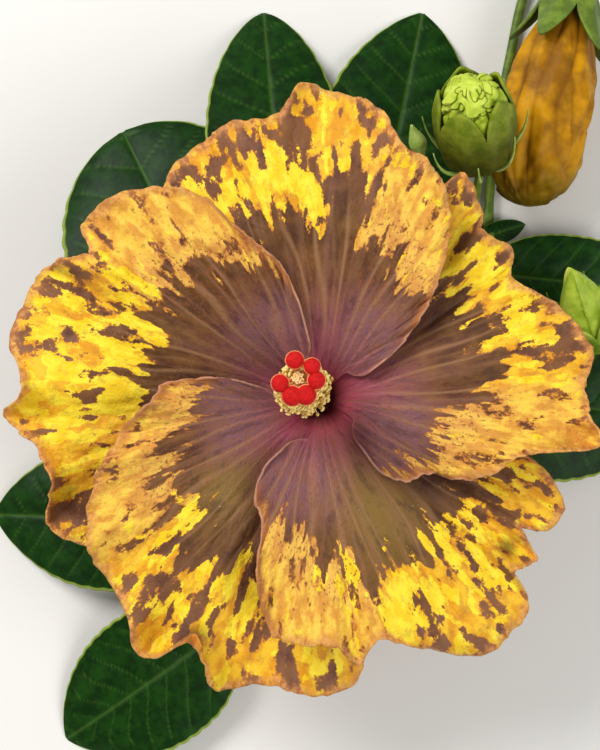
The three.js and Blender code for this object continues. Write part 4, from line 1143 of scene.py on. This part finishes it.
def furled_bloom():
    matrix, length = axis_turn(FURLED_FOOT, FURLED_TIP)
    petals = furled(FURLED_PROFILE, 4, 0.2, 1.0, 0.15, 12, (165, 220), pleats=9)
    petals = turned(petals, matrix, FURLED_FOOT)
    piece("furled_petals", petals, ["furled_bloom_petals"], [FURLED])
    sepals = joined([calyx_cup(FURLED_CALYX, 0.45), turned_solid(FURLED_FOOT_RING)])
    sepals = turned(sepals, matrix, FURLED_FOOT)
    piece("furled_sepals", sepals, ["furled_bloom_calyx"], [SKIN_GREEN, SKIN_GREEN])
    foot = np.array(FURLED_FOOT, float)
    direction = np.subtract(FURLED_TIP, foot) / length
    bend = foot - direction * 11
    bend[2] = foot[2] + 0.5
    # The stalk carries on from the stem's end.
    before, end = curve_along(STEM_KNOTS, [0.98, 1])
    onward = unit(end - before)
    knots = [end + onward * 0.35, end + onward * 2, *FURLED_STALK, bend, foot - direction * 0.33]
    shares = np.linspace(0, 1, 140)
    widths = FURLED_STALK_RADIUS + 1.9 * ramp(0.92, 0.99, shares) + 0.7 * (1 - ramp(0, 0.06, shares))
    stalk = limb(curve_along(knots, shares), widths, 14)
    piece("furled_stem", stalk, ["furled_bloom_stalk"], [SKIN_GREEN])


def tiny_bud():
    matrix, length = axis_turn(TINY_FOOT, TINY_TIP)
    profile = scaled((0.7, -0.5), TINY_RADIUS, length, (0.9, 0.25), (1, 0.5), (0.15, 1))
    body = turned(furled(profile, 5, 0.1, 0, 0.01, 4, (30, 40)), matrix, TINY_FOOT)
    start = stem_at(TINY_BUD_AT)
    end = TINY_FOOT + np.subtract(TINY_TIP, TINY_FOOT) * 0.1
    low = start + (end - start) * 0.35
    low[2] = end[2]
    path = bezier([start, low, end], np.linspace(0, 1, 30))
    stalk = limb(path[outside_stem(path, TINY_BUD_AT)], TINY_STALK_RADIUS, 10)
    piece("tiny_bud_green", joined([body, stalk]), ["tiny_bud"], [SKIN_PALE])


large_bud()
side_bud()
furled_bloom()
tiny_bud()

# Pale floor, soft studio light and the camera straight above.
corners = [(-FLOOR_HALF, -FLOOR_HALF, 0), (FLOOR_HALF, -FLOOR_HALF, 0)]
corners += [(FLOOR_HALF, FLOOR_HALF, 0), (-FLOOR_HALF, FLOOR_HALF, 0)]
floor_mesh = bpy.data.meshes.new("floor")
floor_mesh.from_pydata(corners, [], [(0, 1, 2, 3)])
floor = bpy.data.objects.new("floor", floor_mesh)
bpy.context.scene.collection.objects.link(floor)
floor_look = Looks("floor", 0.9)
floor_look.put(floor_look.shader.inputs["Base Color"], (226, 224, 218))
floor_mesh.materials.append(floor_look.material)

for lamp_name, lamp_place, size, power in LAMPS:
    lamp_data = bpy.data.lights.new(lamp_name, "AREA")
    lamp_data.shape = "DISK"
    lamp_data.size = size
    lamp_data.energy = power
    lamp = bpy.data.objects.new(lamp_name, lamp_data)
    lamp.location = lamp_place
    lamp.rotation_mode = "QUATERNION"
    lamp.rotation_quaternion = Vector(np.subtract(LIT_POINT, lamp_place)).to_track_quat("-Z", "Y")
    bpy.context.scene.collection.objects.link(lamp)

world = bpy.data.worlds.new("soft_room")
world.use_nodes = True
world.node_tree.nodes["Background"].inputs["Color"].default_value = ROOM_COLOUR
world.node_tree.nodes["Background"].inputs["Strength"].default_value = ROOM_LIGHT
bpy.context.scene.world = world
bpy.context.scene.view_settings.view_transform = "Standard"

camera_data = bpy.data.cameras.new("camera")
camera_data.sensor_width = SENSOR
camera_data.lens = SENSOR / 2 * (CAMERA_HEIGHT - PIXEL_SIZE_HEIGHT) / (HALF_FRAME * PIXEL_SIZE)
camera_data.clip_start = 0.01
camera = bpy.data.objects.new("camera", camera_data)
camera.location = AXIS + np.array([*CAMERA_ASIDE, CAMERA_HEIGHT]) * MM
bpy.context.scene.collection.objects.link(camera)
bpy.context.scene.camera = camera
